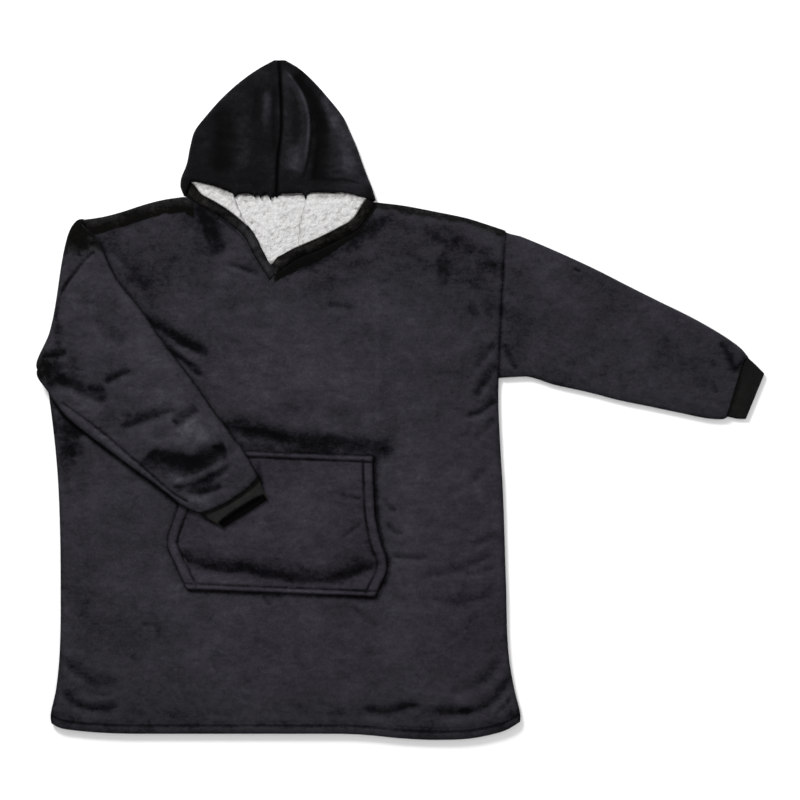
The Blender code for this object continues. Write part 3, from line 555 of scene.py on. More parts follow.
leftCuff = dict(
    lowX=[-146.9, -122, -100], lowY=[401.1, 386, 372], highX=[-38.6, -29, -19], highY=[469, 445, 423],
    base=[23.2, 22.6, 22.1], height=[9.4, 9.4, 9.4],
)
pocketSides = dict(
    y=[254, 275, 300, 325, 348, 380, 420, 508],
    left=[-165, -176, -187, -199, -200, -190, -178, -173],
    right=[173, 183, 194, 195, 186, 178, 173, 170],
)
pocketFootY, pocketTopY = pocketSides["y"][0], pocketSides["y"][-1]
pocketTilt = -0.04  # rise for each millimetre to the right


def sleeveEdge(side):  # one edge of the folded sleeve, on along its cuff
    x, y = (leftSleeve[side + axis] + leftCuff[side + axis] for axis in "XY")
    return [*zip(x, y)]


def pocketEdge(side):
    return [(x, y + pocketTilt * x) for x, y in zip(pocketSides[side], pocketSides["y"])]


sleeveOutline = sleeveEdge("low") + sleeveEdge("high")[::-1]
pocketOutline = pocketEdge("left") + pocketEdge("right")[::-1]


def clothWaves(x, y, seed):  # the slight lumps of fleece over a thick pile, and short sideways wrinkles
    waves = 0.42 * softNoise(x, y, 46, seed) + 0.22 * softNoise(x, y, 19, seed + 1)
    waves += 0.1 * softNoise(x, y, 8, seed + 2)
    wrinkles = softNoise(x / 3.2, y, 8, seed + 3, 0.12) * ease(softNoise(x, y, 60, seed + 4) * 1.5)
    # the second result is painted shade in the wrinkles, with random nap tone
    return waves + 0.35 * wrinkles, 0.16 * wrinkles + 0.1 * softNoise(x, y, 30, seed + 6)


# Body front
frontPanel = dict(
    columns=(112, 120), rows=284, fullness=3.2, sideRoll=15, leftShoulderRoll=27, rightShoulderRoll=15,
    hemRoll=8, hemBand=16, hemGroove=1.9, seamDip=2.6, seamWidth=5, armholeLow=632, armholeHigh=905,
    neckShadow=dict(x=[-20, 10, 45, 85, 125, 170], width=[9, 20, 21, 20, 13, 10]),
    creases=[
        Crease([(-262, 762), (-229, 743), (-205, 729), (-178, 711), (-146, 693), (-117, 684)],
               12, 4.0, -1.1, 2.6),
        Crease([(-224, 724), (-205, 707), (-189, 689), (-169, 671), (-149, 653), (-126, 639)],
               6.5, 3.0, -0.85, 1.8),
        Crease([(-205, 694), (-185, 682), (-164, 670), (-139, 659)], 4.5, 1.6, -0.45, 1.0),
        Crease([(-125, 562), (-88, 552), (-52, 546), (-11, 537), (38, 526), (80, 520), (128, 516),
                (180, 513), (218, 510)], 20, 4.6, -0.95, 1.6, 0.08, 0.15, 0.2, 0.3),
        Crease([(-125, 560), (-88, 551), (-52, 545), (-11, 538), (60, 524)],
               11, 1.6, -0.35, 0.8, 0.3, 0.15, 0.2, 1),
        Crease([(-394, 140), (-372, 124), (-346, 104), (-316, 94), (-283, 95)], 11, 3.2, -0.5, 2.2),
        Crease([(-394, 80), (-372, 62), (-349, 50), (-320, 48), (-280, 56)], 10, 3.6, -0.8, 2.0),
        Crease([(-358, 92), (-331, 76), (-295, 74)], 9, 2.4, -0.35, 1.8),
        Crease([(146, 48), (191, 42), (232, 52), (262, 52)], 9, 2.6, -0.75, 1.4),
        Crease([(268, 50), (308, 40), (345, 44), (378, 58), (403, 84), (420, 114)], 10, 3.4, -0.9, 2.0),
        Crease([(300, 78), (345, 86), (380, 112), (402, 150)], 11, 2.4, -0.4, 1.6),
        Crease([(250, 286), (300, 292), (352, 312), (392, 330)], 8, 2.0, -0.3, 1.4),
        Crease([(262, 250), (310, 238), (370, 250), (396, 262)], 8, 1.8, -0.25, 1.2),
        Crease([(300, 430), (340, 452), (380, 486)], 8, 1.8, -0.25, 1.2),
        Crease([(389, 36), (407, 54), (418, 68)], 5, 2.0, -0.5, -1.0),
        Crease([(83, 776), (110, 772), (137, 769)], 7, 1.6, -0.6),
        Crease([(-250, 198), (-218, 196), (-218, 167)], 5, 1.2, -0.5),
        Crease([(188, 428), (198, 412), (212, 400)], 5.5, 1.6, -0.7),
        Crease([(192, 384), (206, 368), (228, 360)], 5.5, 1.6, -0.65),
        Crease([(200, 326), (227, 319), (272, 319)], 6, 1.8, -0.55, 1.2),
        Crease([(124, 234), (155, 212), (182, 193)], 6, 1.6, -0.35, 1.0),
        Crease([(-31, 250), (-13, 232)], 6, 1.6, -0.6),
        Crease([(176, 819), (178, 711), (176, 531)], 7, -1.5, 0.16),
        Crease([(352, 655), (369, 680), (392, 708)], 6.5, 2.2, -0.6, 1.4),
        Crease([(350, 606), (373, 638), (392, 672)], 8, 2.8, -0.75, 1.8),
        Crease([(335, 572), (364, 583), (393, 604)], 7, 2.4, -0.65, 1.6),
        Crease([(351, 531), (373, 552), (391, 574)], 7, 2.0, -0.3, 1.2),
        Crease([(344, 337), (371, 351), (392, 358)], 6, 1.8, -0.4, 1.2),
        Crease([(329, 288), (362, 293), (391, 304)], 6, 1.6, -0.3, 1.0),
        Crease([(-160, 978), (-143, 948), (-130, 925), (-118, 898), (-106, 872), (-96, 852)],
               12, 4.0, -1.15, 2.0, 0.22, 0, 0.1),
        Crease([(-97, 851), (-70, 841), (-31, 828)], 6, 2.4, -0.6, 1.2),
        Crease([(-140, 950), (-112, 934), (-88, 916), (-66, 892)], 4, 1.6, -0.6, 0.8, 0.2),
        Crease([(-4, 822), (23, 836), (48, 845), (85, 860), (122, 880), (153, 908), (175, 934)],
               15, 3.4, -0.5, 0, 0.06, 0.2, 0),
        Crease([(-277, 823), (-250, 814), (-229, 810)], 12, 1.6, -0.1, 1.0),
        Crease([(-245, 788), (-229, 778), (-214, 761)], 12, 1.6, -0.1, 1.0),
        Crease([(-312, 890), (-296, 866), (-268, 838), (-244, 800), (-212, 752)],
               9, 2.4, -0.28, 0, 0.3, 0.3),
        Crease([(-330, 872), (-302, 834), (-272, 792)], 5, -1.2, 0.2, 0, 0.2),
    ],
    patches=[
        Patch(-140, 890, 42, 18, -62, -0.35), Patch(-95, 870, 30, 20, -50, 0.25),
        Patch(-110, 780, 40, 26, 20, -0.15), Patch(345, 880, 55, 14, -12, -0.5),
        Patch(378, 850, 26, 22, -20, -0.7), Patch(296, 842, 14, 34, 0, -0.35),
        Patch(348, 762, 16, 9, -40, -0.45), Patch(364, 724, 14, 6, 20, -0.35),
        Patch(290, 905, 60, 12, -10, -0.35), Patch(375, 770, 14, 26, 0, -0.35),
        Patch(350, 690, 30, 14, 35, -0.3), Patch(120, 850, 46, 16, 24, -0.2),
        Patch(150, 795, 60, 16, 8, 0.22), Patch(40, 790, 50, 22, 12, 0.15),
        Patch(-190, 640, 50, 40, 0, 0.18), Patch(60, 640, 80, 36, -6, 0.14),
        Patch(240, 600, 60, 40, 10, 0.12), Patch(110, 580, 40, 10, 10, -0.3),
        Patch(-20, 605, 30, 12, -14, 0.35), Patch(20, 590, 22, 8, -24, -0.35),
        Patch(-360, 560, 16, 60, 0, -0.55), Patch(-345, 480, 20, 34, 0, -0.3),
        Patch(-250, 560, 30, 20, -30, -0.2), Patch(-290, 340, 40, 60, 0, -0.1),
        Patch(-220, 250, 70, 40, 0, 0.12), Patch(-100, 160, 90, 40, 0, 0.1),
        Patch(230, 420, 60, 80, 0, 0.12), Patch(350, 470, 24, 60, -8, 0.12),
        Patch(300, 180, 60, 50, 0, -0.08), Patch(-340, 210, 24, 70, 0, -0.22),
        Patch(160, 150, 16, 10, 30, -0.3), Patch(-60, 95, 14, 10, 0, -0.35),
        Patch(380, 300, 14, 60, 0, -0.2), Patch(-250, 820, 40, 18, 10, -0.2),
        Patch(-180, 800, 20, 60, 0, 0.15), Patch(200, 760, 60, 30, -20, 0.08),
        Patch(-160, 925, 34, 24, -50, -0.5), Patch(-114, 925, 26, 12, -45, -0.5),
        Patch(160, 905, 44, 18, 38, -0.7), Patch(215, 920, 60, 16, -10, -0.4),
        Patch(250, 880, 90, 34, -16, -0.2), Patch(330, 840, 60, 34, -16, -0.25),
        Patch(-320, 880, 40, 34, 30, -0.45), Patch(-104, 812, 40, 24, 0, -0.15),
        Patch(-386, 505, 16, 60, 3, -0.7), Patch(180, 860, 40, 20, 20, -0.25),
        Patch(385, 580, 14, 50, 0, -0.3), Patch(-374, 555, 24, 60, 6, -0.6),
        Patch(-350, 590, 40, 22, -42, -0.45), Patch(-300, 235, 24, 30, 0, -0.15),
        Patch(340, 590, 30, 20, 40, -0.2), Patch(60, 560, 90, 14, -6, 0.2),
        Patch(72, 808, 64, 15, 20, -0.25), Patch(120, 545, 90, 10, -8, 0.15),
        Patch(-48, 519, 40, 10, -8, -0.7), Patch(40, 512, 50, 9, -4, -0.3),
        Patch(-380, 520, 26, 80, 4, -0.25), Patch(-326, 535, 26, 36, 0, -0.3),
        Patch(60, 250, 260, 190, 0, 0.16), Patch(60, 600, 200, 130, 0, 0.12),
        Patch(-225, 850, 130, 90, 10, -0.34), Patch(190, 835, 240, 60, -8, -0.16),
        Patch(300, 400, 110, 110, 0, 0.16), Patch(310, 885, 80, 18, -14, -0.2),
        Patch(200, 42, 180, 14, 0, -0.25), Patch(72, 846, 56, 22, 30, -0.25),
        Patch(-200, 38, 160, 12, 0, -0.15), Patch(100, 410, 300, 60, 0, 0.06),
    ],
    tint=[
        Patch(330, 330, 100, 240, 0, 0.9), Patch(60, 150, 160, 90, 0, 0.3),
        Patch(-20, 640, 160, 90, 0, 0.15),
    ],
)


def frontHeights(x, y, settings):
    side = np.minimum(x - leftSideAt(y), rightSideAt(y) - x)
    top = (topEdge(x) - y) * 0.93
    hem = y - readCurve(hemLine["x"], hemLine["y"], x)
    armhole = ease((y - settings["armholeLow"]) / 16)
    belowShoulder = ease((settings["armholeHigh"] - y) / 30)
    dip = 1 - settings["seamDip"] / layer * bell(side, settings["seamWidth"])
    roll = mix(roundOff(side, settings["sideRoll"]), dip, armhole)
    neck = (x > neckLeft) & (x < neckRight)
    shoulder = np.where(x < neckLeft, settings["leftShoulderRoll"], settings["rightShoulderRoll"])
    topDip = 1 - settings["seamDip"] / layer * bell(top, settings["seamWidth"])
    roll = np.minimum(roll, np.where(neck, topDip, roundOff(top, shoulder)))
    roll = np.minimum(roll, roundOff(hem, settings["hemRoll"]))
    rise, shade = creaseField(settings["creases"], settings["patches"], x, y)
    waves, waveShade = clothWaves(x, y, 20)
    covered = np.minimum(distanceOutside(sleeveOutline, x, y), distanceOutside(pocketOutline, x, y))
    free = ease((covered - 2) / 16)
    middle = ease(np.minimum(np.minimum(side, top), hem - settings["hemBand"]) / 70)
    lift = free * (settings["fullness"] * middle * ease(covered / 70) + rise + waves * ease(hem / 20))
    groove = bell(hem - settings["hemBand"], 2.4)
    second = bell(hem - settings["hemBand"] - 7, 2.2)
    band = ease((settings["hemBand"] - hem) / 3)
    puff = np.sin(np.clip(hem / settings["hemBand"], 0, 1) * math.pi)
    lift -= settings["hemGroove"] * groove + 0.5 * second - 0.8 * band * puff
    # Painted shade in sewn grooves, on rolled edges and under the neckband, a darker hem band, and painted
    # shadows beside what lies on the front
    ragged = 3 * softNoise(x, y, 14, 41)
    hemShadow = 0.16 * ease((75 - hem) / 50) * ease((np.abs(x) - 150) / 150)
    shade = shade + waveShade - 0.9 * groove - 0.3 * second - 0.2 * band - hemShadow
    leftRoll = ease((settings["leftShoulderRoll"] - top + 0.5 * ragged) / 3) * (x < neckLeft + 20)
    leftRoll = leftRoll * (0.65 + 0.35 * ease(top / 22))
    rightRoll = 0.75 * ease((settings["rightShoulderRoll"] - top + ragged) / 7) * (x > neckRight - 10)
    neckShadow = readCurve(settings["neckShadow"]["x"], settings["neckShadow"]["width"], x)
    neckShadow = ease((neckShadow - top + 0.6 * ragged) / 3) * ease((x + 12) / 8) * (x < neckRight)
    shade -= 1.4 * neckShadow + 0.5 * bell(24 - top + 0.5 * ragged, 3) * (x < neckLeft)
    shade -= 1.05 * np.maximum(leftRoll, rightRoll) + 0.35 * ease((9 - side + ragged) / 8) * (1 - armhole)
    shade += 0.3 * bell(top, 3) * (x < neckLeft)  # painted highlight on the shoulder's rim
    shade -= 0.75 * armhole * bell(side, 3.8) * (x > 0) * belowShoulder
    shade -= 0.8 * bell(distanceOutside(sleeveOutline, x + 3, y + 3), 2.5) * belowShoulder
    shade -= 0.4 * bell(covered, 4) * belowShoulder
    shade -= 0.8 * bell(distanceOutside(pocketOutline, x - 4, y + 4), 3.5)  # shadow at its right and foot
    # the painted shade of the rolls and under the neckband is tinted olive
    olive = np.maximum(np.maximum(leftRoll, rightRoll) ** 2, 0.8 * neckShadow)
    hue = creaseField([], settings["tint"], x, y)[1] - olive
    return frontLow + layer * roll + lift, shade, hue


def makeFront(settings):
    left, right = settings["columns"]
    toTip, fromTip = graded(left, bodyLeft, neckTip, 0.3), graded(right, neckTip, bodyRight, 1, 0.3)
    places = np.concatenate([toTip[:-1], fromTip])
    x, y = bodyPlan(places, graded(settings["rows"], 0, 1, 0.4, 0.3))
    z, shade, hue = frontHeights(x, y, settings)
    inner = toWorld(*coarsened(x, y), frontLow)
    return makeWall("bodyFront", toWorld(x, y, z), inner, fleece, shade, hue=hue)


bodyFront = makeFront(frontPanel)
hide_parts("body_front")

# Body back, face down
backPanel = dict(
    columns=116, rows=132, sideRoll=10,
    creases=[
        Crease([(-330, 640), (-240, 600), (-120, 590), (20, 610)], 12, -1.4, -0.3),
        Crease([(-360, 180), (-300, 120), (-200, 90)], 9, -1.2, -0.3),
        Crease([(370, 170), (330, 110), (230, 70)], 9, -1.2, -0.3),
        Crease([(340, 700), (300, 620), (280, 540)], 10, -1.3, -0.3),
        Crease([(-120, 420), (0, 400), (150, 410)], 10, -1.0, -0.2),
        Crease([(-40, 860), (20, 780), (30, 700)], 9, -1.0, -0.2),
    ],
    patches=[
        Patch(-200, 300, 90, 50, 20, 0.15), Patch(180, 500, 80, 50, -20, -0.15),
        Patch(60, 160, 70, 40, 0, 0.12),
    ],
)


def makeBack(settings):
    places = graded(settings["columns"], bodyLeft, bodyRight, 0.4, 0.4)
    x, y = bodyPlan(places, graded(settings["rows"], 0, 1, 0.4, 0.4), back=True)
    side = np.minimum(x - leftSideAt(y), rightSideAt(y) - x)
    top = topEdge(x, back=True) - y
    hem = y - readCurve(hemLine["x"], hemLine["y"], x)
    edge = np.minimum(np.minimum(side, top), hem)
    rise, shade = creaseField(settings["creases"], settings["patches"], x, y)
    groove = bell(hem - frontPanel["hemBand"], 2.6)
    z = layer * (1 - roundOff(edge, settings["sideRoll"])) + rise * ease(edge / 30) + 1.2 * groove
    # painted shade in the hem groove and along the edges
    shade = shade - 0.6 * groove - 0.3 * ease((9 - edge) / 8)
    return makeWall("bodyBack", toWorld(x, y, z), toWorld(*coarsened(x, y), layer), fleece, shade)


bodyBack = makeBack(backPanel)
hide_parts("body_back")

# Kangaroo pocket
pocketPanel = dict(
    columns=148, rows=108, wall=5.0, fullness=2.6, edgeRoll=6,
    sideHem=19, topHem=11, bottomHem=11, groove=2.2, puff=1.9,
    creases=[
        Crease([(-184, 330), (-140, 308), (-95, 298), (-58, 300), (-24, 290), (10, 284), (56, 279),
                (110, 285), (160, 303), (174, 316)], 16, 4.6, -0.95, 1.2, 0.06, 0.1, 0.2),
        Crease([(149, 423), (131, 428), (115, 425)], 5, 1.4, -0.35, 0.8),
        Crease([(151, 383), (131, 369), (112, 355)], 5, 1.5, -0.4, 0.8),
        Crease([(157, 351), (167, 329), (185, 322)], 5, 1.4, -0.35),
        Crease([(-140, 392), (-100, 380), (-70, 378)], 7, 1.6, -0.35),
    ],
    patches=[
        Patch(-82, 303, 36, 15, -6, -0.35), Patch(-34, 462, 8, 26, 8, -0.9),
        Patch(20, 400, 150, 80, 0, 0.2), Patch(40, 430, 60, 36, 0, 0.14), Patch(-30, 350, 70, 26, 0, 0.1),
        Patch(-150, 420, 30, 20, 0, -0.2), Patch(110, 440, 10, 18, 20, -0.18),
        Patch(100, 390, 40, 30, 0, 0.1),
    ],
)


def fromLine(line, x, y):  # distance of a grid's points from a rounded line
    return besidePath(smoothPath(line), x.ravel(), y.ravel())[0].reshape(x.shape)


def makePocket(settings):
    levels, shares = np.meshgrid(graded(settings["rows"], pocketFootY, pocketTopY, 0.35, 0.35),
                                 graded(settings["columns"], 0, 1, 0.35, 0.35), indexing="ij")
    leftX = readCurve(pocketSides["y"], pocketSides["left"], levels)
    rightX = readCurve(pocketSides["y"], pocketSides["right"], levels)
    x = mix(leftX, rightX, shares)
    y = levels + pocketTilt * x
    fromLeft, fromRight = (fromLine(pocketEdge(name), x, y) for name in ("left", "right"))
    side = np.minimum(fromLeft, fromRight)
    bottom, top = levels - pocketFootY, pocketTopY - levels
    edge = np.minimum(side, np.minimum(bottom, top))
    rise, shade = creaseField(settings["creases"], settings["patches"], x, y)
    waves, waveShade = clothWaves(x, y, 60)
    covered = distanceOutside(sleeveOutline, x, y)
    free = ease((covered - 1) / 14)
    grooves, puffs = 0, 0
    for distance, name in ((side, "sideHem"), (top, "topHem"), (bottom, "bottomHem")):
        hem = settings[name]
        inFrame = ease((edge - 0.5 * distance) / 6 + 1)  # no groove runs on into another side's hem
        grooves = np.maximum(grooves, bell(distance - hem, 2.1) * inFrame)
        puffs = np.maximum(puffs, np.sin(np.clip(distance / hem, 0, 1) * math.pi))
    z = pocketBase + settings["wall"] * roundOff(edge, settings["edgeRoll"])
    z += free * (settings["fullness"] * ease(edge / 60) * ease(covered / 50) + rise + waves)
    z += settings["puff"] * puffs * free - settings["groove"] * grooves
    uneven = 1 + 0.45 * softNoise(x, y, 26, 71)
    # Painted shade in the grooves and at the edges, a painted highlight on the hems' puffs, and painted shadow
    # at the right, the foot and beside the sleeve
    shade = shade + waveShade - 1.1 * uneven * grooves - 0.75 * bell(edge, 2.4) + 0.2 * puffs
    shade -= 0.5 * uneven * bell(np.minimum(fromRight, bottom), 3.4) + 0.3 * bell(covered, 4)
    inner = toWorld(*coarsened(x, y), pocketBase)
    return makeWall("kangarooPocket", toWorld(x, y, z), inner, fleece, shade, hue=0.35)


kangarooPocket = makePocket(pocketPanel)
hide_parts("pocket")


# Sleeves: flattened tubes, the side that shows first round the ring and the hidden side back
def readSections(table, t):
    at = t * (len(table["lowX"]) - 1)
    return {name: readCurve(range(len(column)), column, at) for name, column in table.items()}


def widthOf(section):
    return np.hypot(section["highX"] - section["lowX"], section["highY"] - section["lowY"])[:, None]


def ringShares(shown, hidden):  # places across the tube, close together at its two folds
    def across(count):
        t = np.arange(count) / count
        return 0.6 * t + 0.4 * (1 - np.cos(t * math.pi)) / 2
    return np.concatenate([across(shown), 1 - across(hidden)]), np.arange(shown + hidden) < shown


def flatRing(section, shares, shows, rolls):
    # Plan and height of a flattened tube's points, one row for each section
    edge = np.minimum(shares, 1 - shares) * widthOf(section)
    half = section["height"][:, None] / 2
    x = mix(section["lowX"][:, None], section["highX"][:, None], shares)
    y = mix(section["lowY"][:, None], section["highY"][:, None], shares)
    z = half * np.where(shows, roundOff(edge, rolls[0]), -roundOff(edge, rolls[1]))
    return x, y, z, half, edge


def innerRing(section, settings):  # the flat slit inside a sleeve
    shares, shows = ringShares(settings["shown"] // innerStep, settings["hidden"] // innerStep)
    inset = layer / widthOf(section)
    inner = inset + shares * (1 - 2 * inset)
    x = mix(section["lowX"][:, None], section["highX"][:, None], inner)
    y = mix(section["lowY"][:, None], section["highY"][:, None], inner)
    return x, y, np.where(shows, gap, -gap) * np.ones_like(x)


cuffKnit = dict(
    ribs=76, cellsPerRib=6, rows=24, ribHeight=0.8, wall=3.0,
    rightBow=(-8.0, 0.0), leftBow=(10, -11), leftOpening=0.44,
)
rightSleeveCloth = dict(
    shown=88, hidden=24, rows=152, length=440, fullness=3.2, rolls=(20, 8), seamDip=2.6, cuffGather=0.9,
    creases=[
        Crease([(788, 707), (803, 693), (821, 648)], 6.5, 2.6, -0.8, 1.6),
        Crease([(844, 680), (830, 664), (821, 648)], 5.5, 2.2, -0.7, -1.0),
        Crease([(778, 675), (783, 657)], 5.5, 1.8, -0.6, 0.8),
        Crease([(778, 639), (783, 625), (788, 612)], 4.5, 1.8, -0.45, 1.0),
        Crease([(404, 706), (416, 675), (430, 653)], 6, 2.2, -0.75, 1.2),
        Crease([(546, 833), (535, 836), (522, 846)], 3, 1.0, -0.5),
        Crease([(640, 610), (700, 597), (760, 588)], 9, 1.6, -0.15, 1.0),
        Crease([(560, 760), (640, 730), (700, 690)], 18, 1.4, -0.06, 1.2),
    ],
    patches=[
        Patch(432, 772, 30, 76, 0, -0.3), Patch(560, 740, 150, 110, -20, -0.14),
        Patch(750, 670, 70, 80, -20, -0.16), Patch(536, 836, 9, 5, -30, -0.4),
        Patch(700, 690, 60, 34, -20, -0.12), Patch(600, 740, 60, 30, -26, 0.1),
        Patch(500, 800, 60, 20, -20, 0.1), Patch(480, 700, 50, 26, -10, 0.12),
        Patch(740, 620, 40, 18, -12, 0.12), Patch(620, 650, 70, 20, -12, -0.1),
    ],
)


def makeRightSleeve(settings):
    t = graded(settings["rows"], 0, 1, 0.35, 0.4)
    section = readSections(rightSleeve, t)
    shares, shows = ringShares(settings["shown"], settings["hidden"])
    x, y, z, half, edge = flatRing(section, shares, shows, settings["rolls"])
    blend = ease(t / 0.07)[:, None]
    x = mix(rightSideAt(y) + 0.3, x, blend)
    bow = np.sin(shares * math.pi) ** 0.5
    x = x + cuffKnit["rightBow"][0] * bow * ease((t[:, None] - 0.94) / 0.06)
    rise, shade = creaseField(settings["creases"], settings["patches"], x, y)
    waves, waveShade = clothWaves(x, y, 100)
    fromSeam = (x - rightSideAt(y)) + 0 * z
    fromCuff = (1 - t)[:, None] * settings["length"]
    crown = np.sin(np.clip(shares, 0, 1) * math.pi) ** 0.6
    lift = settings["fullness"] * crown * ease(fromSeam / 40) * ease(fromCuff / 30)
    lift += (rise + waves) * ease(edge / 14)
    pleats = np.sin(shares * 55 + 1.7 * softNoise(y, x, 12, 9)) * np.exp(-fromCuff / 16)
    lift += settings["cuffGather"] * pleats * crown
    lift -= settings["seamDip"] * bell(fromSeam, 4.5) + 2.4 * bell(fromCuff, 4)
    z = half + z + np.where(shows, lift, 0)
    # Painted shade at the armhole seam, the cuff, the lower edge and in the pleats, and a painted highlight on
    # the upper edge
    shade = shade + waveShade - 0.7 * bell(fromSeam, 3.6) - 0.5 * bell(fromCuff, 3)
    lowEdge, highEdge = ease((9 - edge) / 8) * (shares < 0.5), bell(edge, 3.5) * (shares > 0.5)
    shade -= 0.3 * lowEdge + 0.12 * pleats - 0.4 * highEdge
    shade -= 0.14 * ease(1 - edge / 34) * (shares < 0.5)
    innerX, innerY, innerZ = innerRing({k: v[::innerStep] for k, v in section.items()}, settings)
    outer, inner = toWorld(x, y, z), toWorld(innerX, innerY, innerZ + half[::innerStep])
    return makeWall("rightSleeve", outer, inner, fleece, shade, closed=True)


rightSleevePiece = makeRightSleeve(rightSleeveCloth)
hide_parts("sleeve_right")

leftSleeveCloth = dict(
    shown=96, hidden=24, turnRows=28, rows=164, length=470, fullness=3.2, rolls=(18, 8), cuffGather=1.0,
    slant=0.24, slantEnd=885, turnGap=-1.5, tip=(9, 6), tipY=645, sinkPlace=(-352, 930),
    creases=[
        Crease([(-328, 869), (-349, 851), (-362, 833), (-380, 810), (-391, 788), (-398, 761), (-401, 743)],
               3.5, 2.4, -1.0, 0, 0.02),
        Crease([(-428, 678), (-414, 683), (-398, 682), (-376, 689)], 6.5, 3.0, -0.9, 1.6),
        Crease([(-400, 650), (-385, 637), (-365, 629), (-344, 617), (-328, 610), (-300, 601)],
               13, 3.8, -0.95, 2.0),
        Crease([(-344, 624), (-328, 621), (-308, 622)], 6, 1.8, -0.5, 1.2),
        Crease([(-313, 632), (-292, 643), (-262, 656)], 7, 2.6, -0.8, 1.6),
        Crease([(-287, 553), (-262, 561), (-238, 570), (-208, 581), (-176, 588)], 10, 3.2, -0.85, 1.8),
        Crease([(-190, 558), (-170, 570), (-144, 590)], 11, 3.4, -1.1, 1.8, 0.12),
        Crease([(-232, 512), (-214, 499), (-176, 492), (-150, 489), (-132, 497), (-113, 509), (-90, 516)],
               24, 5.6, -1.25, 2.6, 0.06, 0, 0.25, 1),
        Crease([(-196, 446), (-166, 448), (-135, 457), (-100, 478), (-80, 490)],
               7, 3.2, -0.8, 2.6, 0.14, 0, 0.8, 1),
        Crease([(-130, 452), (-112, 464), (-88, 480)], 5, 2.4, -0.5, 1.6),
        Crease([(-168, 440), (-144, 437), (-118, 442), (-98, 452)], 8, 3.2, -0.8, 1.6, 0.16, 0, 0.4),
        Crease([(-120, 520), (-95, 510), (-72, 512)], 6, 2.0, -0.4, 1.8),
        Crease([(-391, 599), (-376, 589), (-340, 563), (-304, 535), (-268, 504), (-232, 473), (-196, 441),
                (-160, 418)], 2.8, 1.8, -0.7, 0, 0.02),
        Crease([(-330, 760), (-300, 720), (-270, 700)], 12, 1.8, -0.2, 1.6),
        Crease([(-397, 592), (-345, 556), (-273, 497), (-201, 435), (-168, 412)], 5, -1.2, 0.32, 0, 0.04),
    ],
    patches=[
        Patch(-152, 548, 40, 24, -40, 0.6), Patch(-220, 640, 90, 60, -50, 0.12),
        Patch(-110, 470, 30, 14, 30, 0.5), Patch(-200, 600, 44, 26, -30, 0.4),
        Patch(-250, 600, 30, 14, 20, -0.3), Patch(-230, 680, 50, 22, -50, 0.32),
        Patch(-290, 700, 40, 30, 0, 0.12), Patch(-340, 720, 30, 40, 0, 0.12),
        Patch(-370, 660, 26, 26, 0, -0.28), Patch(-400, 660, 20, 20, 0, -0.4),
        Patch(-330, 840, 26, 10, 0, -0.2), Patch(-360, 780, 14, 26, 20, 0.15),
        Patch(-300, 570, 30, 14, -30, -0.25), Patch(-180, 460, 30, 10, -30, 0.35),
        Patch(-270, 790, 20, 50, 40, 0.15), Patch(-225, 530, 24, 12, -30, 0.3),
        Patch(-140, 422, 30, 8, -20, 0.35), Patch(-170, 522, 34, 10, -20, 0.2),
        Patch(-92, 440, 16, 10, -30, 0.5), Patch(-396, 730, 10, 44, 0, -0.5),
        Patch(-412, 650, 26, 30, 0, -0.6), Patch(-392, 628, 30, 16, -30, -0.3),
        Patch(-404, 780, 8, 60, 10, -0.4),
    ],
    # painted shade of the shoulder's roll runs on round the fold and darkens the fold's tip, tinted olive
    corner=[
        Patch(-356, 906, 44, 44, 0, -1.0), Patch(-430, 655, 26, 30, 0, -0.5),
    ],
)


def turnedRing(y, z, angles, settings):  # the part that turns over, swung about the fold's axis
    radius = foldAxis - z
    out = radius * np.sin(angles)
    slant = settings["slant"] * (1 - ease((y - settings["slantEnd"]) / 42))
    return leftSideAt(y) - settings["turnGap"] - out, y + slant * out, foldAxis - radius * np.cos(angles)


def leftSleeveInside(section, angles, settings):  # the slit inside the fold and on along the sleeve
    shares, shows = ringShares(settings["shown"] // innerStep, settings["hidden"] // innerStep)
    low, high = leftSleeve["lowY"][0], leftSleeve["highY"][0]
    inset = layer / (high - low)
    turnY = mix(low, high, inset + shares * (1 - 2 * inset))
    turnZ = sleeveHeight / 2 - np.where(shows, gap, -gap)
    coarse = np.arange(0, len(angles) + len(section["base"]), innerStep)
    isTurn = coarse < len(angles)
    turned = turnedRing(turnY, turnZ, angles[coarse[isTurn]], settings)
    slim = {k: v[coarse[~isTurn] - len(angles)] for k, v in section.items()}
    x, y, z = innerRing(slim, settings)
    flat = (x, y, z + slim["base"][:, None] + slim["height"][:, None] / 2)
    return toWorld(*(np.vstack(pair) for pair in zip(turned, flat)))


